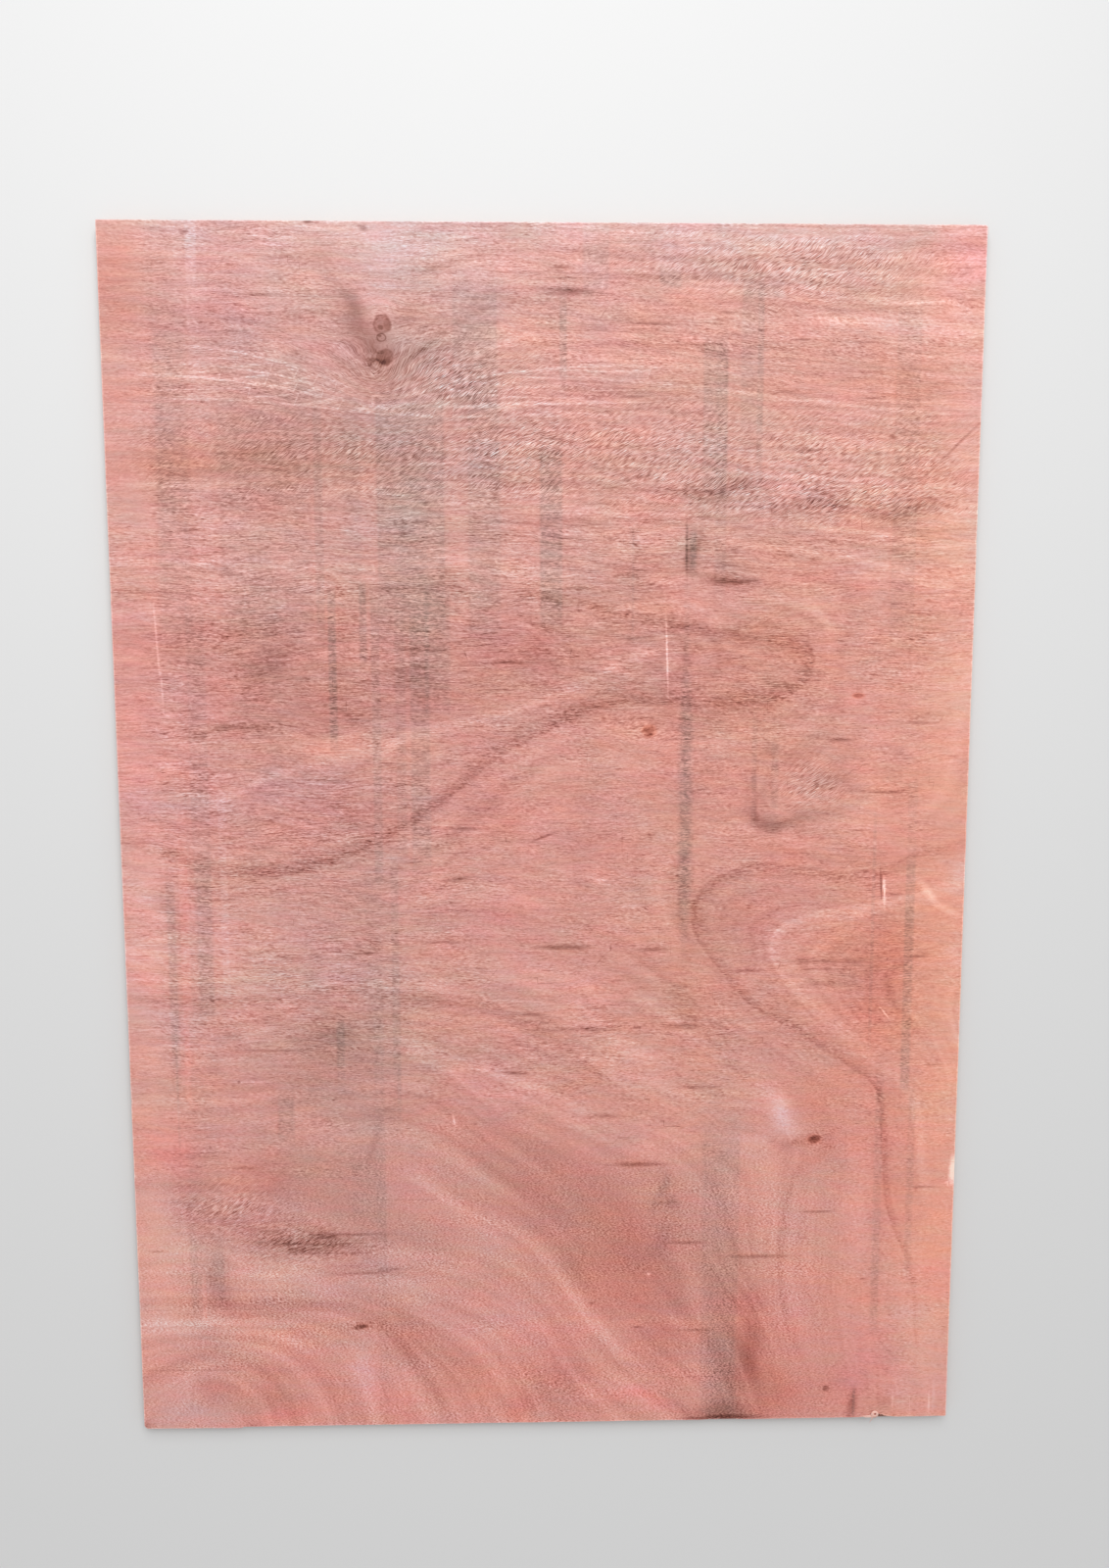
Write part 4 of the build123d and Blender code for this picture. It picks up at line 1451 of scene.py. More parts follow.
@dataclass(frozen=True)
class SawnEdge:
    """A sawn edge: stripes of long grain and end grain with thin dark glue lines between them."""

    run: EdgeRun
    plies: Plies = Plies()
    long_shades: tuple[Colour, ...] = (
        (120, 74, 58), (176, 122, 100), (209, 157, 133), (228, 184, 162), (242, 211, 193),
    )
    end_shades: tuple[Colour, ...] = (
        (78, 42, 32), (126, 80, 64), (164, 112, 92), (190, 138, 116), (216, 170, 148),
    )
    glue: Colour = (92, 56, 44)
    # Colour of the edge's faces that look up, mostly torn ledges: partly weathered wood, partly painted shade
    ledge_shade_and_weathering: Colour = (104, 66, 62)
    handled: Colour = (150, 116, 98)
    wave: Streaks = Streaks(70, 1, 0.9, 5, 3)
    ply_tones: Streaks = Streaks(1, 1, 60, 2, 0)
    long_middle: float = 186.0
    long_blotches: Streaks = Streaks(160, 4, 40, 17)
    end_middle: float = 146.0
    end_blotches: Streaks = Streaks(30, 3, 50, 31, 3)
    tubes: Streaks = Streaks(0.34, 0.30, -48, 29, 1, 0.56, 0.74)
    glue_patches: Streaks = Streaks(14, 3, 0.22, 37, 3)
    hand_marks: Streaks = Streaks(90, 14, 0.35, 41, 3, 0.45, 0.75)

    def between(self, graph: Graph, height: Field, margin: float, soft: float, thickness: float) -> Field:
        """Where a height lies between the two faces.

        Args:
            graph: The material.
            height: The height, in mm.
            margin: How far inside each face the limits are.
            soft: How soft they are.
            thickness: The sheet's thickness, in mm.

        Returns:
            1 between them and 0 outside.
        """
        top = thickness - margin
        above = graph.rise(height, margin - soft, margin + soft)
        return above * graph.rise(height, top - soft, top + soft, 1.0, 0.0)

    def dress(self, thickness: float) -> Material:
        """Draw the material.

        Args:
            thickness: The sheet's thickness, in mm.

        Returns:
            The material.
        """
        graph = Graph(f"sawn_edge_{self.run.name.lower()}")
        x, y, z = graph.split(graph.place())
        along = x if self.run is EdgeRun.ALONG_GRAIN else y
        flat = graph.join(along, z)
        height = z + self.wave.draw(graph, graph.join(along))
        ply = self.plies.ply(thickness)
        turns = (height - self.plies.face) / ply
        whole = graph.math("FLOOR", turns)
        within = graph.math("FRACT", turns)
        # The faces' grain runs with x, so the first inner ply under each of them is crossed. The odd
        # number makes it so, and keeps the heights below the first ply from being negative
        crossed = graph.math("MODULO", whole + 21.0, 2.0)
        crossed = crossed * self.between(graph, height, self.plies.face, 0.04, thickness)
        end_grain = 1.0 - crossed if self.run is EdgeRun.ACROSS_GRAIN else crossed

        ply_tone = self.ply_tones.draw(graph, graph.join(7.3 * whole))
        long_grain = graph.noise(flat, 22, 0.35, 13.0, 3.0, 0.6)
        saw = graph.noise(flat, 1.1, 9.0, 23.0, 2.0)
        long_levels = self.long_middle + 66.0 * (long_grain - 0.5) + ply_tone
        long_levels = long_levels + self.long_blotches.draw(graph, flat)
        end_levels = self.end_middle + 44.0 * (saw - 0.5) + self.tubes.draw(graph, flat) + ply_tone
        end_levels = end_levels + self.end_blotches.draw(graph, flat)
        colour = graph.mix(end_grain, graph.wood(long_levels, self.long_shades),
                           graph.wood(end_levels, self.end_shades))

        near = ply * graph.math("MINIMUM", within, 1.0 - within) + self.glue_patches.draw(graph, flat)
        glue = graph.rise(near, self.plies.glue_line * 0.4, self.plies.glue_line, 1.0, 0.0)
        glue = glue * self.between(graph, height, 0.75, 0.15, thickness)
        colour = graph.mix(0.85 * glue, colour, linear(self.glue))
        # Faces of the edge that look up are darkened: partly weathering, partly painted shade in these
        # recesses. They are mostly the ledges where the face veneer is torn or knocked away, and the small
        # steps between plies
        facing = graph.split(graph.add("ShaderNodeNewGeometry").outputs["Normal"])[2]
        colour = graph.mix(graph.rise(facing, 0.55, 0.85, 0.0, 0.75), colour, linear(self.ledge_shade_and_weathering))
        colour = graph.mix(self.hand_marks.draw(graph, flat), colour, linear(self.handled), "MULTIPLY")
        relief = end_grain * (saw - 0.9) + 0.4 * long_grain - 0.5 * glue
        return graph.finish(colour, 0.78, relief, 0.22, 0.2)


@dataclass
class FootCuts:
    """The foot of the sheet: two saw cuts that meet in a step, a torn place and a knock, in mm."""

    short_length: float = 147.0
    short_fall: float = 1.4
    step_depth: float = 1.9
    step_run: float = 1.5
    root_from_right: float = 101.0
    root_width: float = 6.0
    root_depth: float = 6.5
    tear_left: Point = (24.0, 3.0)
    tear_right: Point = (24.0, 4.0)
    knock_from_left: float = 878.0
    knock_length: float = 66.0
    knock_depth: float = 1.2
    tear_gap: float = 1.6
    knock_gap: float = 3.3

    def root(self, width: float) -> Point:
        """Where the splinter's root begins and ends along the foot of a sheet of this width."""
        right = width - self.root_from_right
        return right - self.root_width, right

    def sawn(self, x: Array) -> Array:
        """How high the saw cuts lie above the foot's lowest point."""
        stops = [0.0, self.short_length, self.short_length + self.step_run]
        return np.interp(x, stops, [self.short_fall, 0.0, self.step_depth])

    def torn(self, x: Array, width: float) -> Array:
        """How far the face veneer is torn or knocked back from the saw cut.

        Args:
            x: Places along the foot.
            width: The width of the sheet.

        Returns:
            The depth at each place.
        """
        left, right = self.root(width)
        left_length, left_depth = self.tear_left
        right_length, right_depth = self.tear_right
        stops = [left - left_length, left, right - self.root_width / 4, right, right + right_length]
        tear = np.interp(x, stops, [0.0, left_depth, self.root_depth, right_depth, 0.0])
        ragged = 1.0 + 0.20 * Wander(31, 5.5, 17).at(x)
        share = (x - self.knock_from_left) / (self.knock_length / 2)
        knock = self.knock_depth * np.clip(1 - share ** 2, 0, None)
        return tear * np.clip(ragged, 0.5, 1.5) + knock * (1.0 + 0.15 * Wander(32, 3, 12).at(x))

    def columns(self, width: float) -> list[float]:
        """Where the foot's corners need columns of vertices.

        Args:
            width: The width of the sheet.

        Returns:
            Their places along the foot.
        """
        left, right = self.root(width)
        half = self.knock_length / 2
        return [
            self.short_length, self.short_length + self.step_run,
            *np.arange(left - self.tear_left[0], right + self.tear_right[0] + 1, self.tear_gap),
            *np.arange(self.knock_from_left - half, self.knock_from_left + half + 1, self.knock_gap),
        ]


class Skin(IntEnum):
    """The parts of the sheet's surface, each with a finish of its own."""

    FACE = 0
    BACK = 1
    END = 2
    SIDE = 3


def stitched(outer: Sequence[int], inner: Sequence[int]) -> list[Face]:
    """Fill the strip between two rows of vertices with triangles.

    Args:
        outer: The outer row.
        inner: The inner row.

    Returns:
        The triangles.
    """
    faces = []
    i = j = 0
    last_outer, last_inner = len(outer) - 1, len(inner) - 1
    while i < last_outer or j < last_inner:
        if j == last_inner or (i < last_outer and (i + 1) / last_outer <= (j + 1) / last_inner):
            faces.append((outer[i], inner[j], outer[i + 1]))
            i += 1
        else:
            faces.append((outer[i], inner[j], inner[j + 1]))
            j += 1
    return faces


def keep_vectors(mesh: bpy.types.Mesh, name: str, vectors: Array) -> None:
    """Keep a vector on each vertex of a mesh under this name."""
    attribute = mesh.attributes.new(name, "FLOAT_VECTOR", "POINT")
    attribute.data.foreach_set("vector", vectors.astype(np.float32).ravel())


def smooth_mesh(name: str, points: Array, faces: Sequence[Face], *materials: Material) -> bpy.types.Mesh:
    """Make a mesh with smooth faces.

    Args:
        name: Its name.
        points: Its vertices in the frame, in metres.
        faces: The vertices of each face.
        materials: Its finishes.

    Returns:
        The mesh.
    """
    mesh = bpy.data.meshes.new(name)
    mesh.from_pydata(points.tolist(), [], faces)
    for material in materials:
        mesh.materials.append(material)
    mesh.polygons.foreach_set("use_smooth", [True] * len(faces))
    mesh.update()
    return mesh


@dataclass
class SheetMesh:
    """The dressed sheet: one closed mesh with the worn edges and the data that its finishes read."""

    low: Place
    high: Place
    figure: Figure = field(default_factory=Figure)
    foot: FootCuts = field(default_factory=FootCuts)
    plies: Plies = field(default_factory=Plies)
    corner_radii: tuple[float, float, float, float] = (6.0, 2.0, 2.5, 1.5)
    arris: float = 0.55
    arris_reach: float = 7.0
    cut_reach: float = 60.0
    tear_reach: float = 34.0
    column_gap: float = 7.6
    row_gap: float = 8.4
    closest: float = 0.45
    side_offsets: tuple[float, ...] = (0.0, 0.5, 1.1, 1.9, 3.0, 4.4, 6.0, 8.4, 12.0, 17.0)
    back_columns: int = 22
    back_rows: int = 32
    back_margin: float = 14.0
    sharp_angle: float = 38.0

    def __post_init__(self) -> None:
        """Work out the sizes in mm from the CAD model's box."""
        sizes = ((high - low) / METRES for low, high in zip(self.low, self.high))
        self.width, self.length, self.thickness = sizes

    @property
    def middle(self) -> Point:
        """The middle of the sheet from its left side and foot, where the CAD model's origin is."""
        return -self.low[0] / METRES, -self.low[1] / METRES

    def to_frame(self, points: Array) -> Array:
        """Turn places on the sheet, in mm, into the frame, in metres."""
        return points * METRES + np.array(self.low)

    def inside(self, x: Array, y: Array) -> Array:
        """How far these places are from the nearest side, in mm."""
        return np.minimum.reduce([x, self.width - x, y, self.length - y])

    def stops(self, extent: float, gap: float, marks: Sequence[float]) -> Array:
        """Choose rows or columns of vertices: dense at both sides and at each mark.

        Args:
            extent: The sheet's size that way.
            gap: How far apart they are elsewhere.
            marks: Places that need one of their own.

        Returns:
            The places, in order.
        """
        near = [*self.side_offsets, *(extent - offset for offset in self.side_offsets)]
        first, last = self.side_offsets[-1], extent - self.side_offsets[-1]
        fixed = sorted([*near, *(m for m in marks if first + 0.8 < m < last - 0.8)])
        kept = [fixed[0]]
        for place in fixed[1:]:
            if place - kept[-1] > self.closest:
                kept.append(place)
        filled = [kept[0]]
        for place in kept[1:]:
            parts = max(1, round((place - filled[-1]) / gap))
            filled.extend(np.linspace(filled[-1], place, parts + 1)[1:])
        return np.array(filled)

    def rounded(self, x: Array, y: Array) -> tuple[Array, Array]:
        """Pull the four corners in to their radii.

        Args:
            x: Places along the grain.
            y: Places across it.

        Returns:
            The places, with those near a corner moved.
        """
        x, y = x.copy(), y.copy()
        corners = ((0, 0), (1, 0), (1, 1), (0, 1))
        for (right, up), radius in zip(corners, self.corner_radii):
            from_side = self.width - x if right else x
            from_end = self.length - y if up else y
            at = (from_side < radius) & (from_end < radius)
            a = 1 - from_side[at] / radius
            b = 1 - from_end[at] / radius
            side = radius * (1 - a * np.sqrt(1 - b * b / 2))
            end = radius * (1 - b * np.sqrt(1 - a * a / 2))
            x[at] = self.width - side if right else side
            y[at] = self.length - end if up else end
        return x, y

    def plan(self, x: Array, y: Array, arris: float, torn: bool) -> Array:
        """Where the vertices of the grid lie on the real sheet.

        Args:
            x: Columns of the grid.
            y: Rows of the grid.
            arris: How many times the arris's easing the rim is pulled in.
            torn: Whether the torn and knocked veneer is missing.

        Returns:
            Their places, one row each.
        """
        def near(distance: Array, reach: float) -> Array:
            """1 at a side, and down to 0 at this distance from it."""
            return np.clip(1 - distance / reach, 0, 1) ** 2

        real_x, real_y = self.rounded(x, y)
        sides = (
            (x, 1, 0, y, 41), (self.width - x, -1, 0, y, 42),
            (y, 0, 1, x, 43), (self.length - y, 0, -1, x, 44),
        )
        for inside, right, up, run, seed in sides:
            pull = self.arris_at(run, seed) * arris * near(inside, self.arris_reach)
            real_x = real_x + right * pull
            real_y = real_y + up * pull
        real_y = real_y + self.foot.sawn(x) * near(y, self.cut_reach)
        if torn:
            real_y = real_y + self.foot.torn(x, self.width) * near(y, self.tear_reach)
        return np.column_stack([real_x, real_y])

    def arris_at(self, run: Array, seed: int) -> Array:
        """How far an arris is worn: mostly lightly, with some deeper nicks.

        Args:
            run: Places along it.
            seed: Seeds the wear.

        Returns:
            The wear at each place, in mm.
        """
        wear = 0.75 + 0.28 * Wander(seed, 40, 300).at(run) + 0.18 * Wander(seed + 20, 4, 16).at(run)
        nicks = np.clip(Wander(seed + 40, 22, 90, 14).at(run) - 1.75, 0, None) * 1.4
        return self.arris * np.clip(wear + nicks, 0.35, 3.0)

    def relief(self, x: Array, y: Array) -> Array:
        """The face's own unevenness: long waves, low knots, and none at the rim.

        Args:
            x: Places along the grain.
            y: Places across it.

        Returns:
            How high each place stands, in mm.
        """
        waves = 0.09 * Wander(81, 70, 260).at(x, y) + 0.03 * Wander(82, 16, 50).at(x, y)
        pits = np.maximum.reduce([knot.weight(x, y) for knot in self.figure.knots])
        return (waves - 0.3 * pits) * ease(self.inside(x, y), 2, 26)

    def arris_rings(self, veneer: Array, rim: Array) -> list[Array]:
        """The rings of vertices that round the face's worn arris.

        Args:
            veneer: The veneer's edge in plan, below the arris.
            rim: The face's rim.

        Returns:
            The rings, from the top down.
        """
        easing = np.linalg.norm(veneer - rim[:, :2], axis=1)
        rings = []
        for angle in map(math.radians, (30, 60, 90)):
            plan = rim[:, :2] + (veneer - rim[:, :2]) * math.sin(angle)
            rings.append(np.column_stack([plan, self.thickness - easing * (1 - math.cos(angle))]))
        return rings

    def ply_rings(self, veneer: Array, core: Array) -> list[Array]:
        """The rings of vertices of the plies' edges and of the lower arris.

        Args:
            veneer: The veneer's edge in plan.
            core: The saw cuts in plan, with nothing torn.

        Returns:
            The rings, from the top down.
        """
        tangent = np.roll(core, -1, 0) - np.roll(core, 1, 0)
        inward = np.column_stack([-tangent[:, 1], tangent[:, 0]])
        inward /= np.linalg.norm(inward, axis=1)[:, None]
        run = np.concatenate([[0], np.cumsum(np.linalg.norm(np.diff(core, axis=0), axis=1))])
        rings = []

        def add(plan: Array, height: Array | float) -> None:
            """Add a ring at this height."""
            rings.append(np.column_stack([plan, np.broadcast_to(height, len(run))]))

        rough = Wander(51, 1.5, 5)
        ledge = self.thickness - self.plies.face
        missing = np.clip(np.linalg.norm(core - veneer, axis=1), 0, 1)
        for share, drop in ((0.0, -0.12), (0.5, 0.05), (1.0, 0.1)):
            ragged = 0.25 * missing * rough.at(run, 7.0 * share)
            add(veneer + (core - veneer) * share, ledge - drop + ragged * (1 - share))

        draw = np.random.default_rng(52)
        for ply, low in enumerate(reversed(self.plies.glue_heights(self.thickness)[:-1])):
            inset = draw.uniform(0.0, 0.16)
            wavy = inset + 0.07 * Wander(60 + ply, 6, 30).at(run) + 0.05 * rough.at(run, 20.0 * ply)
            plan = core + inward * np.clip(wavy, -0.05, 0.4)[:, None]
            add(plan, low + self.plies.ply(self.thickness) - 0.22)
            add(plan, low + 0.14)

        wear = 0.8 + 0.3 * Wander(71, 30, 200).at(run) + 0.15 * Wander(72, 4, 12).at(run)
        under = self.arris * np.clip(wear, 0.3, 2)
        for angle in map(math.radians, (90, 60, 30, 0)):
            add(core + inward * (under * (1 - math.sin(angle)))[:, None], under * (1 - math.cos(angle)))
        return rings

    def build(self, materials: Sequence[Material]) -> bpy.types.Object:
        """Make the mesh.

        Args:
            materials: The finishes of the parts of its surface.

        Returns:
            The sheet.
        """
        straight = (*self.figure.stain_bands, *self.figure.clean_stripes, *self.figure.pale_stripes)
        crisp = [c for band in straight if band.edge < 5 and band.strength > 0.29 for c in band.columns()]
        columns = self.stops(self.width, self.column_gap, [*crisp, *self.foot.columns(self.width)])
        rows = self.stops(self.length, self.row_gap, [])
        across, up = len(columns), len(rows)
        x, y = (a.ravel() for a in np.meshgrid(columns, rows, indexing="ij"))
        grid = np.arange(across * up).reshape(across, up)
        loop = np.concatenate([grid[:-1, 0], grid[-1, :-1], grid[:0:-1, -1], grid[0, :0:-1]])
        corners = [0, across - 1, across + up - 2, 2 * across + up - 3]

        face = np.column_stack([self.plan(x, y, 1.0, True), self.thickness + self.relief(x, y)])
        veneer, core = (self.plan(x[loop], y[loop], 0.0, torn) for torn in (True, False))
        arris = self.arris_rings(veneer, face[loop])
        rings = [*arris, *self.ply_rings(veneer, core)]

        quads = [np.stack([grid[:-1, :-1], grid[1:, :-1], grid[1:, 1:], grid[:-1, 1:]], -1).reshape(-1, 4)]
        sides = np.full(len(loop), Skin.END)
        sides[corners[1]:corners[2]] = Skin.SIDE
        sides[corners[3]:] = Skin.SIDE
        upper = loop
        for ring in range(len(rings)):
            lower = len(x) + ring * len(loop) + np.arange(len(loop))
            quads.append(np.column_stack([upper, lower, np.roll(lower, -1), np.roll(upper, -1)]))
            upper = lower
        count = len(x) + len(rings) * len(loop)
        back, back_faces = self.back(upper.tolist(), corners, count)
        faces = [*np.vstack(quads).tolist(), *back_faces]
        skins = [
            *[Skin.FACE] * (len(quads[0]) + len(arris) * len(loop)),
            *sides.tolist() * (len(rings) - len(arris)),
            *[Skin.BACK] * len(back_faces),
        ]

        points = self.to_frame(np.vstack([face, *rings, back]))
        mesh = smooth_mesh("dressed_sheet", points, faces, *materials)
        mesh.polygons.foreach_set("material_index", np.array(skins, np.int32))
        self.store(mesh, x, y, loop, len(arris))
        mesh.set_sharp_from_angle(angle=math.radians(self.sharp_angle))
        log.info("dressed_sheet: %d columns, %d rows, %d rings", across, up, len(rings))
        return show("dressed_sheet", mesh)

    def back(self, rim: list[int], corners: Sequence[int], first: int) -> tuple[Array, list[Face]]:
        """Close the underside with a coarse grid, stitched to the rim.

        Args:
            rim: The vertices round the underside, in order.
            corners: Where the four corners are among them.
            first: The number that the first new vertex gets.

        Returns:
            The new vertices and the faces.
        """
        margin = self.back_margin
        xs = np.linspace(margin, self.width - margin, self.back_columns)
        ys = np.linspace(margin, self.length - margin, self.back_rows)
        x, y = (a.ravel() for a in np.meshgrid(xs, ys, indexing="ij"))
        grid = first + np.arange(len(x)).reshape(self.back_columns, self.back_rows)
        quads = np.stack([grid[:-1, :-1], grid[:-1, 1:], grid[1:, 1:], grid[1:, :-1]], -1)
        faces = quads.reshape(-1, 4).tolist()
        inner_sides = (grid[:, 0], grid[-1, :], grid[::-1, -1], grid[0, ::-1])
        closed = [*rim, rim[0]]
        for start, end, inner in zip(corners, [*corners[1:], len(rim)], inner_sides):
            faces.extend(stitched(closed[start:end + 1], inner.tolist()))
        return np.column_stack([x, y, np.zeros(len(x))]), faces

    def store(self, mesh: bpy.types.Mesh, x: Array, y: Array, loop: Array, arris_rings: int) -> None:
        """Keep on each vertex of the face what its material reads there.

        Args:
            mesh: The sheet's mesh.
            x: The places of the face's vertices along the grain.
            y: Their places across it.
            loop: The vertices round the face.
            arris_rings: How many rings under them belong to the face.
        """
        figure = self.figure
        data = {
            "tone": figure.tone(x, y), "tint": figure.tint(x, y), "ring": figure.ring(x, y),
            "weave": figure.weave(x, y), "marks": figure.marks(x, y), "dashes": figure.dashes(x, y),
            "rim": np.column_stack([np.minimum(self.inside(x, y), 40), *figure.banding(x, y)]),
        }
        for name, values in data.items():
            known = np.vstack([values, *[values[loop]] * arris_rings])
            rest = np.zeros((len(mesh.vertices) - len(known), 3))
            keep_vectors(mesh, name, np.vstack([known, rest]))


@dataclass(frozen=True)
class Sliver:
    """A torn strand of wood: a flat tapered rod along a smooth line, in mm."""

    path: tuple[Place, ...]
    width: float
    thickness: float
    tip: float = 0.12
    sides: int = 7

    def mesh_parts(self) -> tuple[Array, list[Face]]:
        """Shape the strand.

        Returns:
            Its vertices and faces, closed at both ends.
        """
        line = smooth_line(self.path, 5)
        tangent = np.gradient(line, axis=0)
        tangent /= np.linalg.norm(tangent, axis=1)[:, None]
        flat = np.cross((0.0, 0.0, 1.0), tangent)
        flat /= np.maximum(np.linalg.norm(flat, axis=1), 1e-6)[:, None]
        high = np.cross(tangent, flat)
        share = np.linspace(0, 1, len(line))
        taper = np.maximum(self.tip, (1 - share ** 2.2) * (0.75 + 0.25 * np.sin(share * 9.0)))
        angles = np.arange(self.sides) * math.tau / self.sides
        rings = [
            centre + size * (np.outer(np.cos(angles), side) * self.width / 2
                             + np.outer(np.sin(angles), top) * self.thickness / 2)
            for centre, side, top, size in zip(line, flat, high, taper)
        ]
        index = np.arange(len(line) * self.sides).reshape(len(line), self.sides)
        turned_on = np.roll(index, -1, 1)
        quads = np.stack([index[:-1], turned_on[:-1], turned_on[1:], index[1:]], -1).reshape(-1, 4)
        return np.vstack(rings), [*quads.tolist(), index[0, ::-1].tolist(), index[-1].tolist()]


@dataclass
class TornPieces:
    """What has splintered off the face veneer and still hangs on: strands at the foot and a corner."""

    sheet: SheetMesh

    def foot_splinter(self) -> list[Sliver]:
        """Lay the strands of the curled splinter at the tear, and a few short ones elsewhere along the foot.

        Returns:
            The strands.
        """
        top = self.sheet.thickness
        root = self.sheet.width - self.sheet.foot.root_from_right
        foot = self.sheet.foot.step_depth
        draw = np.random.default_rng(91)
        strands = []
        for turn in np.linspace(0, 1, 4):
            size = 5.2 - 2.0 * turn
            start = (root - 22.0, foot + 2.4 - 0.5 * turn, top + 0.5)
            curl = [
                (root - 9.5 + size * math.cos(a), foot + 6.0 + size * math.sin(a),
                 top + 1.2 + 0.9 * turn + 0.45 * a)
                for a in np.linspace(-1.7, 3.9, 7)
            ]
            strands.append(Sliver((start, *curl), 3.1, 1.2))
        for row in range(4):
            strands.append(Sliver((
                (root - 10.0, foot + 5.0 - 1.1 * row, top + 1.2),
                (root - 19.0, foot + 3.4 - 0.9 * row, top + 0.9),
                (root - 33.0 + 2.4 * row, foot + 2.2 - 0.6 * row, top + 0.3),
            ), 2.1, 0.9))
        for reach, drift in ((12.5, -2.4), (9.0, 0.6), (5.0, 2.0)):
            strands.append(Sliver((
                (root - 12.0, foot + 4.0, top + 0.4),
                (root - 12.5 + drift * 0.2, foot - 1.0, top + 0.2),
                (root - 12.5 + drift * 0.8, foot - reach * 0.6, top - 2.0),
                (root - 12.5 + drift, foot - reach, top - 5.0),
            ), 1.9, 0.7))
        for offset in (-28, -21, -15, -9, 12, 19):
            start = root - 3 + offset + draw.uniform(-1.5, 1.5)
            strands.append(Sliver((
                (start, foot + 1.6, top - 0.9),
                (start + 5, foot + 1.3 + draw.uniform(-0.3, 0.5), top - 0.2),
                (start + 10 + draw.uniform(0, 3), foot + 0.8 + draw.uniform(-0.5, 0.5), top - 0.1),
            ), draw.uniform(0.7, 1.4), 0.4))
        for x in (89.0, 92.5, 97.0):
            strands.append(Sliver((
                (x, 1.6, top - 0.2),
                (x + 2.0, 2.4, top + 0.5),
                (x + 5.0, 1.2 + draw.uniform(0, 1.6), top + 0.9),
            ), 1.1, 0.4))
        return strands

    def corner_burr(self) -> list[Sliver]:
        """Lay the burr of fibres at the right corner of the head.

        Returns:
            The strands.
        """
        top, right, head = self.sheet.thickness, self.sheet.width, self.sheet.length
        draw = np.random.default_rng(92)
        strands = []
        for step in range(9):
            y = head - 1.5 - 1.35 * step
            reach = draw.uniform(1.2, 3.2)
            strands.append(Sliver((
                (right - 3.0, y, top - 0.7),
                (right - 0.2, y + draw.uniform(-0.3, 0.3), top - 0.3),
                (right + reach, y - draw.uniform(0.2, 1.6), top - 0.5 - draw.uniform(0, 0.8)),
            ), draw.uniform(0.7, 1.3), 0.45))
        return strands

    def build(self, name: str, strands: Sequence[Sliver], material: Material) -> bpy.types.Object:
        """Join strands into one piece.

        Args:
            name: The piece's name.
            strands: The strands.
            material: Their finish.

        Returns:
            The piece.
        """
        points: list[Array] = []
        faces: list[Face] = []
        for strand in strands:
            first = sum(len(p) for p in points)
            own_points, own_faces = strand.mesh_parts()
            points.append(own_points)
            faces.extend(tuple(first + i for i in face) for face in own_faces)
        log.info("%s: %d strands, %d faces", name, len(strands), len(faces))
        return show(name, smooth_mesh(name, self.sheet.to_frame(np.vstack(points)), faces, material))


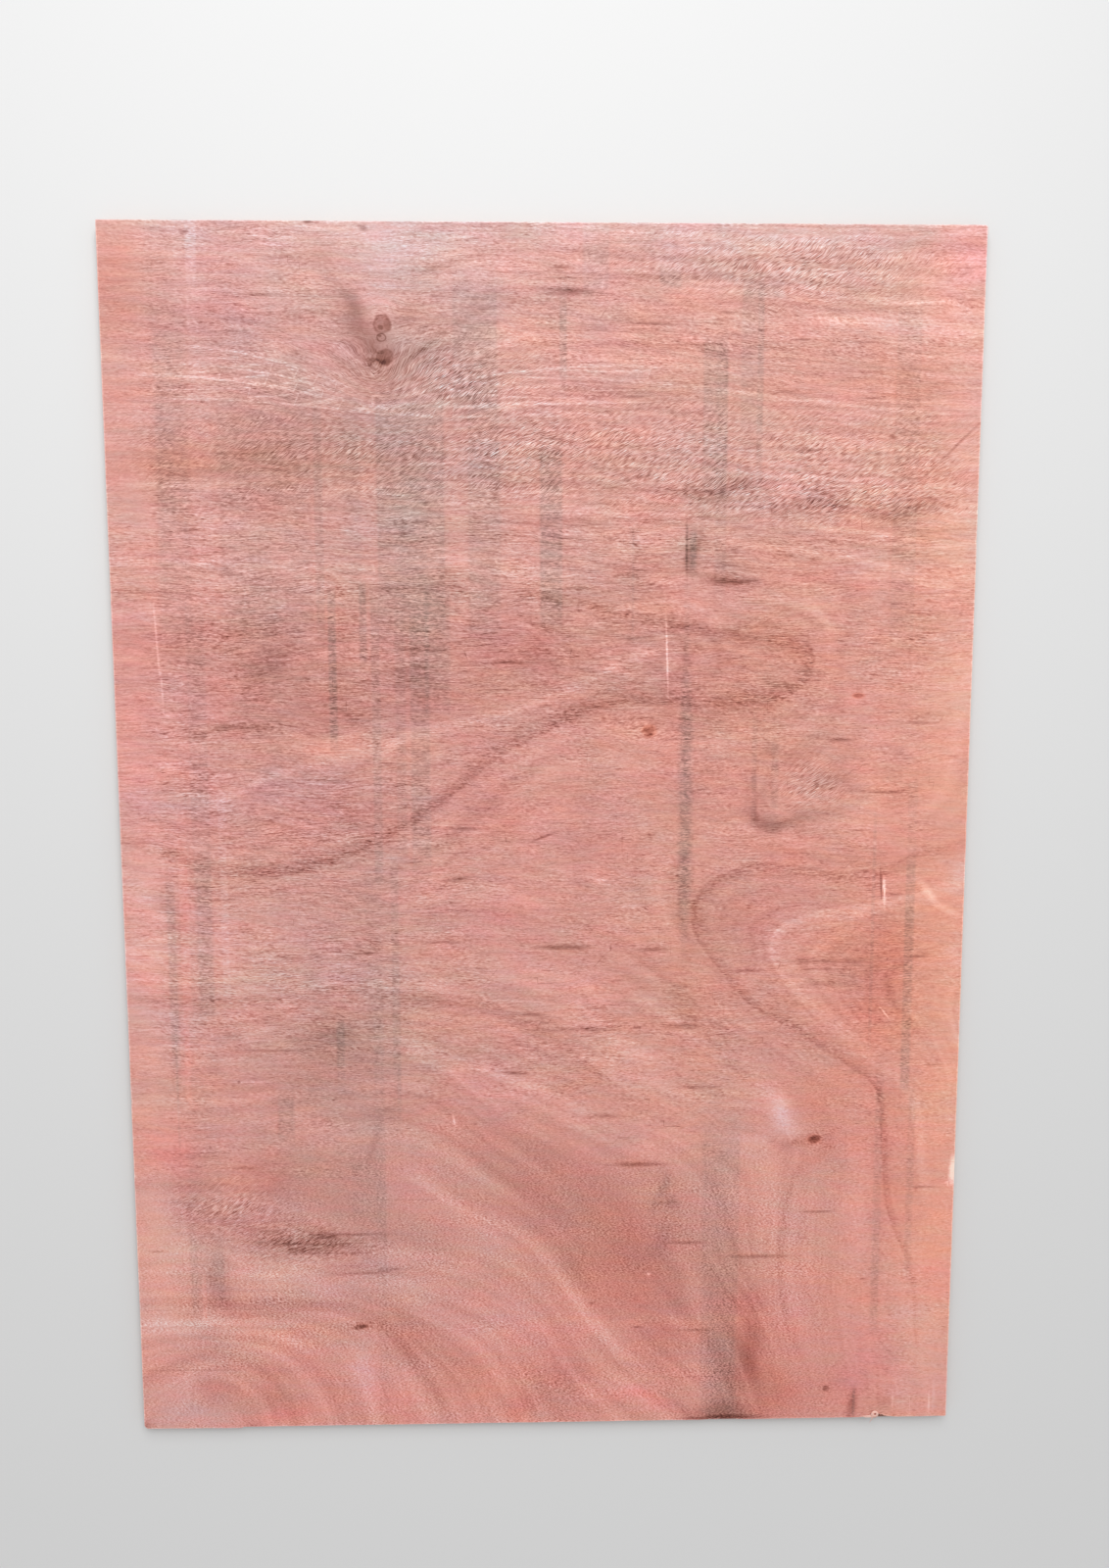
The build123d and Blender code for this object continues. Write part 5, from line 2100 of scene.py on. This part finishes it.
@dataclass(frozen=True)
class Fringe:
    """Fine fibres that the saw left standing along an edge, grown by Geometry Nodes. Sizes in mm."""

    name: str
    spacing: float
    shortest: float
    longest: float
    thickness: float
    lean: float
    share: float
    seed: int

    def tree(self) -> bpy.types.NodeTree:
        """Draw the tree that grows fibres outwards from the points of a line.

        Returns:
            The tree.
        """
        group = bpy.data.node_groups.new(f"{self.name}_fibres", "GeometryNodeTree")
        kinds = {
            "Geometry": "Geometry", "Spacing": "Float", "Shortest": "Float", "Longest": "Float",
            "Thickness": "Float", "Lean": "Float", "Share": "Float", "Seed": "Int", "Wood": "Material",
        }
        for name, kind in kinds.items():
            group.interface.new_socket(name, in_out="INPUT", socket_type=f"NodeSocket{kind}")
        group.interface.new_socket("Geometry", in_out="OUTPUT", socket_type="NodeSocketGeometry")
        add = Tree(group).add
        given = add("NodeGroupInput").outputs
        line = add("GeometryNodeMeshToCurve", {"Mesh": given["Geometry"]})
        points = add("GeometryNodeCurveToPoints", {
            "Curve": line.outputs[0], "Length": given["Spacing"],
        }, mode="LENGTH")

        outward = add("GeometryNodeInputNamedAttribute", {"Name": "outward"}, data_type="FLOAT_VECTOR")
        stray = add("FunctionNodeRandomValue", {
            "Min": (-1, -1, -1), "Max": (1, 1, 1), "Seed": given["Seed"],
        }, data_type="FLOAT_VECTOR")
        scaled = add("ShaderNodeVectorMath", {
            0: stray.outputs["Value"], "Scale": given["Lean"],
        }, operation="SCALE")
        heading = add("ShaderNodeVectorMath", {0: outward.outputs["Attribute"], 1: scaled.outputs[0]})
        turn = add("FunctionNodeAlignRotationToVector", {"Vector": heading.outputs[0]}, axis="Z")

        clump = add("ShaderNodeTexNoise", {"Scale": 26.0, "Detail": 3.0})
        length = add("FunctionNodeRandomValue", {
            2: given["Shortest"], 3: given["Longest"], "Seed": given["Seed"],
        })
        grown = add("ShaderNodeMath", {0: length.outputs[1], 1: clump.outputs["Fac"]}, operation="MULTIPLY")
        thick = given["Thickness"]
        size = add("ShaderNodeCombineXYZ", {0: thick, 1: thick, 2: grown.outputs[0]})

        chosen = add("FunctionNodeRandomValue", {
            "Probability": given["Share"], "Seed": given["Seed"],
        }, data_type="BOOLEAN")
        fibre = add("GeometryNodeMeshCone", {
            "Vertices": 4, "Side Segments": 3, "Radius Top": 0.2, "Radius Bottom": 1.0, "Depth": 1.0,
        })
        placed = add("GeometryNodeInstanceOnPoints", {
            "Points": points.outputs["Points"], "Selection": chosen.outputs[3],
            "Instance": fibre.outputs["Mesh"], "Rotation": turn.outputs["Rotation"],
            "Scale": size.outputs[0],
        })
        real = add("GeometryNodeRealizeInstances", {0: placed.outputs[0]})
        dressed = add("GeometryNodeSetMaterial", {"Geometry": real.outputs[0], "Material": given["Wood"]})
        add("NodeGroupOutput", {0: dressed.outputs[0]})
        return group

    def build(self, lines: Sequence[tuple[Array, Point]], sheet: SheetMesh,
              material: Material) -> bpy.types.Object:
        """Grow the fibres.

        Args:
            lines: Lines along the edges, in mm, each with the direction that is outwards.
            sheet: The sheet, which knows the frame.
            material: The fibres' finish.

        Returns:
            The piece.
        """
        points = np.vstack([line for line, _ in lines])
        outward = np.vstack([np.tile((*direction, 0.1), (len(line), 1)) for line, direction in lines])
        edges = []
        first = 0
        for line, _ in lines:
            edges.extend((first + i, first + i + 1) for i in range(len(line) - 1))
            first += len(line)
        mesh = bpy.data.meshes.new(self.name)
        mesh.from_pydata(sheet.to_frame(points).tolist(), edges, [])
        keep_vectors(mesh, "outward", outward)
        piece = show(self.name, mesh)

        tree = self.tree()
        values = {
            "Spacing": self.spacing * METRES, "Shortest": self.shortest * METRES,
            "Longest": self.longest * METRES, "Thickness": self.thickness * METRES / 2,
            "Lean": self.lean, "Share": self.share, "Seed": self.seed, "Wood": material,
        }
        modifier = piece.modifiers.new("fibres", "NODES")
        modifier.node_group = tree
        for item in tree.interface.items_tree:
            if item.in_out == "INPUT" and item.name in values:
                modifier[item.identifier] = values[item.name]
        evaluated = piece.evaluated_get(bpy.context.evaluated_depsgraph_get())
        grown = bpy.data.meshes.new_from_object(evaluated)
        piece.modifiers.clear()
        piece.data = grown
        log.info("%s: %d faces", self.name, len(grown.polygons))
        return piece


@dataclass
class Studio:
    """A plain pale floor, plain soft light, and the camera that looks down on the sheet."""

    floor_size: float = 14.0
    floor_drop: float = 0.0002
    floor_shade: float = 0.72
    world_strength: float = 0.49
    key_strength: float = 0.83
    key_softness: float = 32.0
    key_turn: Place = (-34.0, 24.0, 0.0)
    head_light: float = 49.0
    head_light_size: float = 1.8
    head_light_place: Place = (-0.1, 2.1, 2.3)
    head_light_turn: Place = (-41.0, 0.0, 0.0)
    camera_place: Place = (-0.0223, 0.2696, 1.6406)
    camera_turn: Place = (-5.843, -1.203, -0.100)
    lens: float = 26.1
    sensor: float = 36.0

    def build(self) -> None:
        """Make the floor, the light and the camera."""
        self.floor()
        self.light()
        self.camera()

    def floor(self) -> None:
        """Lay the floor."""
        half, height = self.floor_size / 2, -self.floor_drop
        corners = [(x, y, height) for x, y in ((-half, -half), (half, -half), (half, half), (-half, half))]
        mesh = bpy.data.meshes.new("floor")
        mesh.from_pydata(corners, [], [(0, 1, 2, 3)])
        material = bpy.data.materials.new("pale_floor")
        material.use_nodes = True
        shader = material.node_tree.nodes["Principled BSDF"]
        shader.inputs["Base Color"].default_value = (self.floor_shade,) * 3 + (1,)
        shader.inputs["Roughness"].default_value = 0.9
        shader.inputs["Specular IOR Level"].default_value = 0.1
        mesh.materials.append(material)
        floor = show("floor", mesh)

    def light(self) -> None:
        """Set the sky, one soft key light from the head's right, and a softer one at the head."""
        world = bpy.data.worlds.new("studio")
        world.use_nodes = True
        sky = world.node_tree.nodes["Background"]
        sky.inputs["Color"].default_value = (1, 1, 1, 1)
        sky.inputs["Strength"].default_value = self.world_strength
        bpy.context.scene.world = world
        lamp = bpy.data.lights.new("key", "SUN")
        lamp.energy = self.key_strength
        lamp.angle = math.radians(self.key_softness)
        show("key", lamp).rotation_euler = [math.radians(a) for a in self.key_turn]
        lamp = bpy.data.lights.new("head_light", "AREA")
        lamp.energy = self.head_light
        lamp.size = self.head_light_size
        soft = show("head_light", lamp)
        soft.location = self.head_light_place
        soft.rotation_euler = [math.radians(a) for a in self.head_light_turn]

    def camera(self) -> None:
        """Hang the camera over the sheet."""
        lens = bpy.data.cameras.new("camera")
        lens.sensor_fit = "VERTICAL"
        lens.sensor_width = self.sensor
        lens.sensor_height = self.sensor
        lens.lens = self.lens
        lens.clip_start = 0.05
        camera = show("camera", lens)
        camera.location = self.camera_place
        camera.rotation_euler = [math.radians(a) for a in self.camera_turn]
        bpy.context.scene.camera = camera


def hand_over(piece: bpy.types.Object) -> None:
    """Let a piece ride on the sheet's body."""
    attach(piece, BODY)


def main() -> None:
    """Build the sheet and the studio."""
    logging.basicConfig(level=logging.INFO, format="%(message)s")
    bpy.context.scene.view_settings.view_transform = "Standard"
    low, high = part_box(CAD_NODE)
    sheet = SheetMesh(tuple(low), tuple(high))
    torn_wood = TornWood().dress()
    materials = (
        FaceVeneer().dress(sheet.figure, sheet.middle),
        BackVeneer().dress(),
        SawnEdge(EdgeRun.ALONG_GRAIN).dress(sheet.thickness),
        SawnEdge(EdgeRun.ACROSS_GRAIN).dress(sheet.thickness),
    )
    dressed = sheet.build(materials)
    hand_over(dressed)
    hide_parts(CAD_NODE)

    torn = TornPieces(sheet)
    hand_over(torn.build("foot_splinter", torn.foot_splinter(), torn_wood))
    hand_over(torn.build("corner_burr", torn.corner_burr(), torn_wood))

    top = sheet.thickness - 0.5
    sides = [
        (np.array([(0.3, y, top) for y in np.linspace(9, sheet.length - 6, 120)]), (-1.0, 0.0)),
        (np.array([(sheet.width - 0.3, y, top) for y in np.linspace(6, sheet.length - 6, 120)]), (1.0, 0.0)),
    ]
    hand_over(Fringe("cut_end_whiskers", 1.9, 0.4, 3.2, 0.22, 0.7, 0.55, 5).build(sides, sheet, torn_wood))

    Studio().build()


if __name__ == "__main__":
    main()
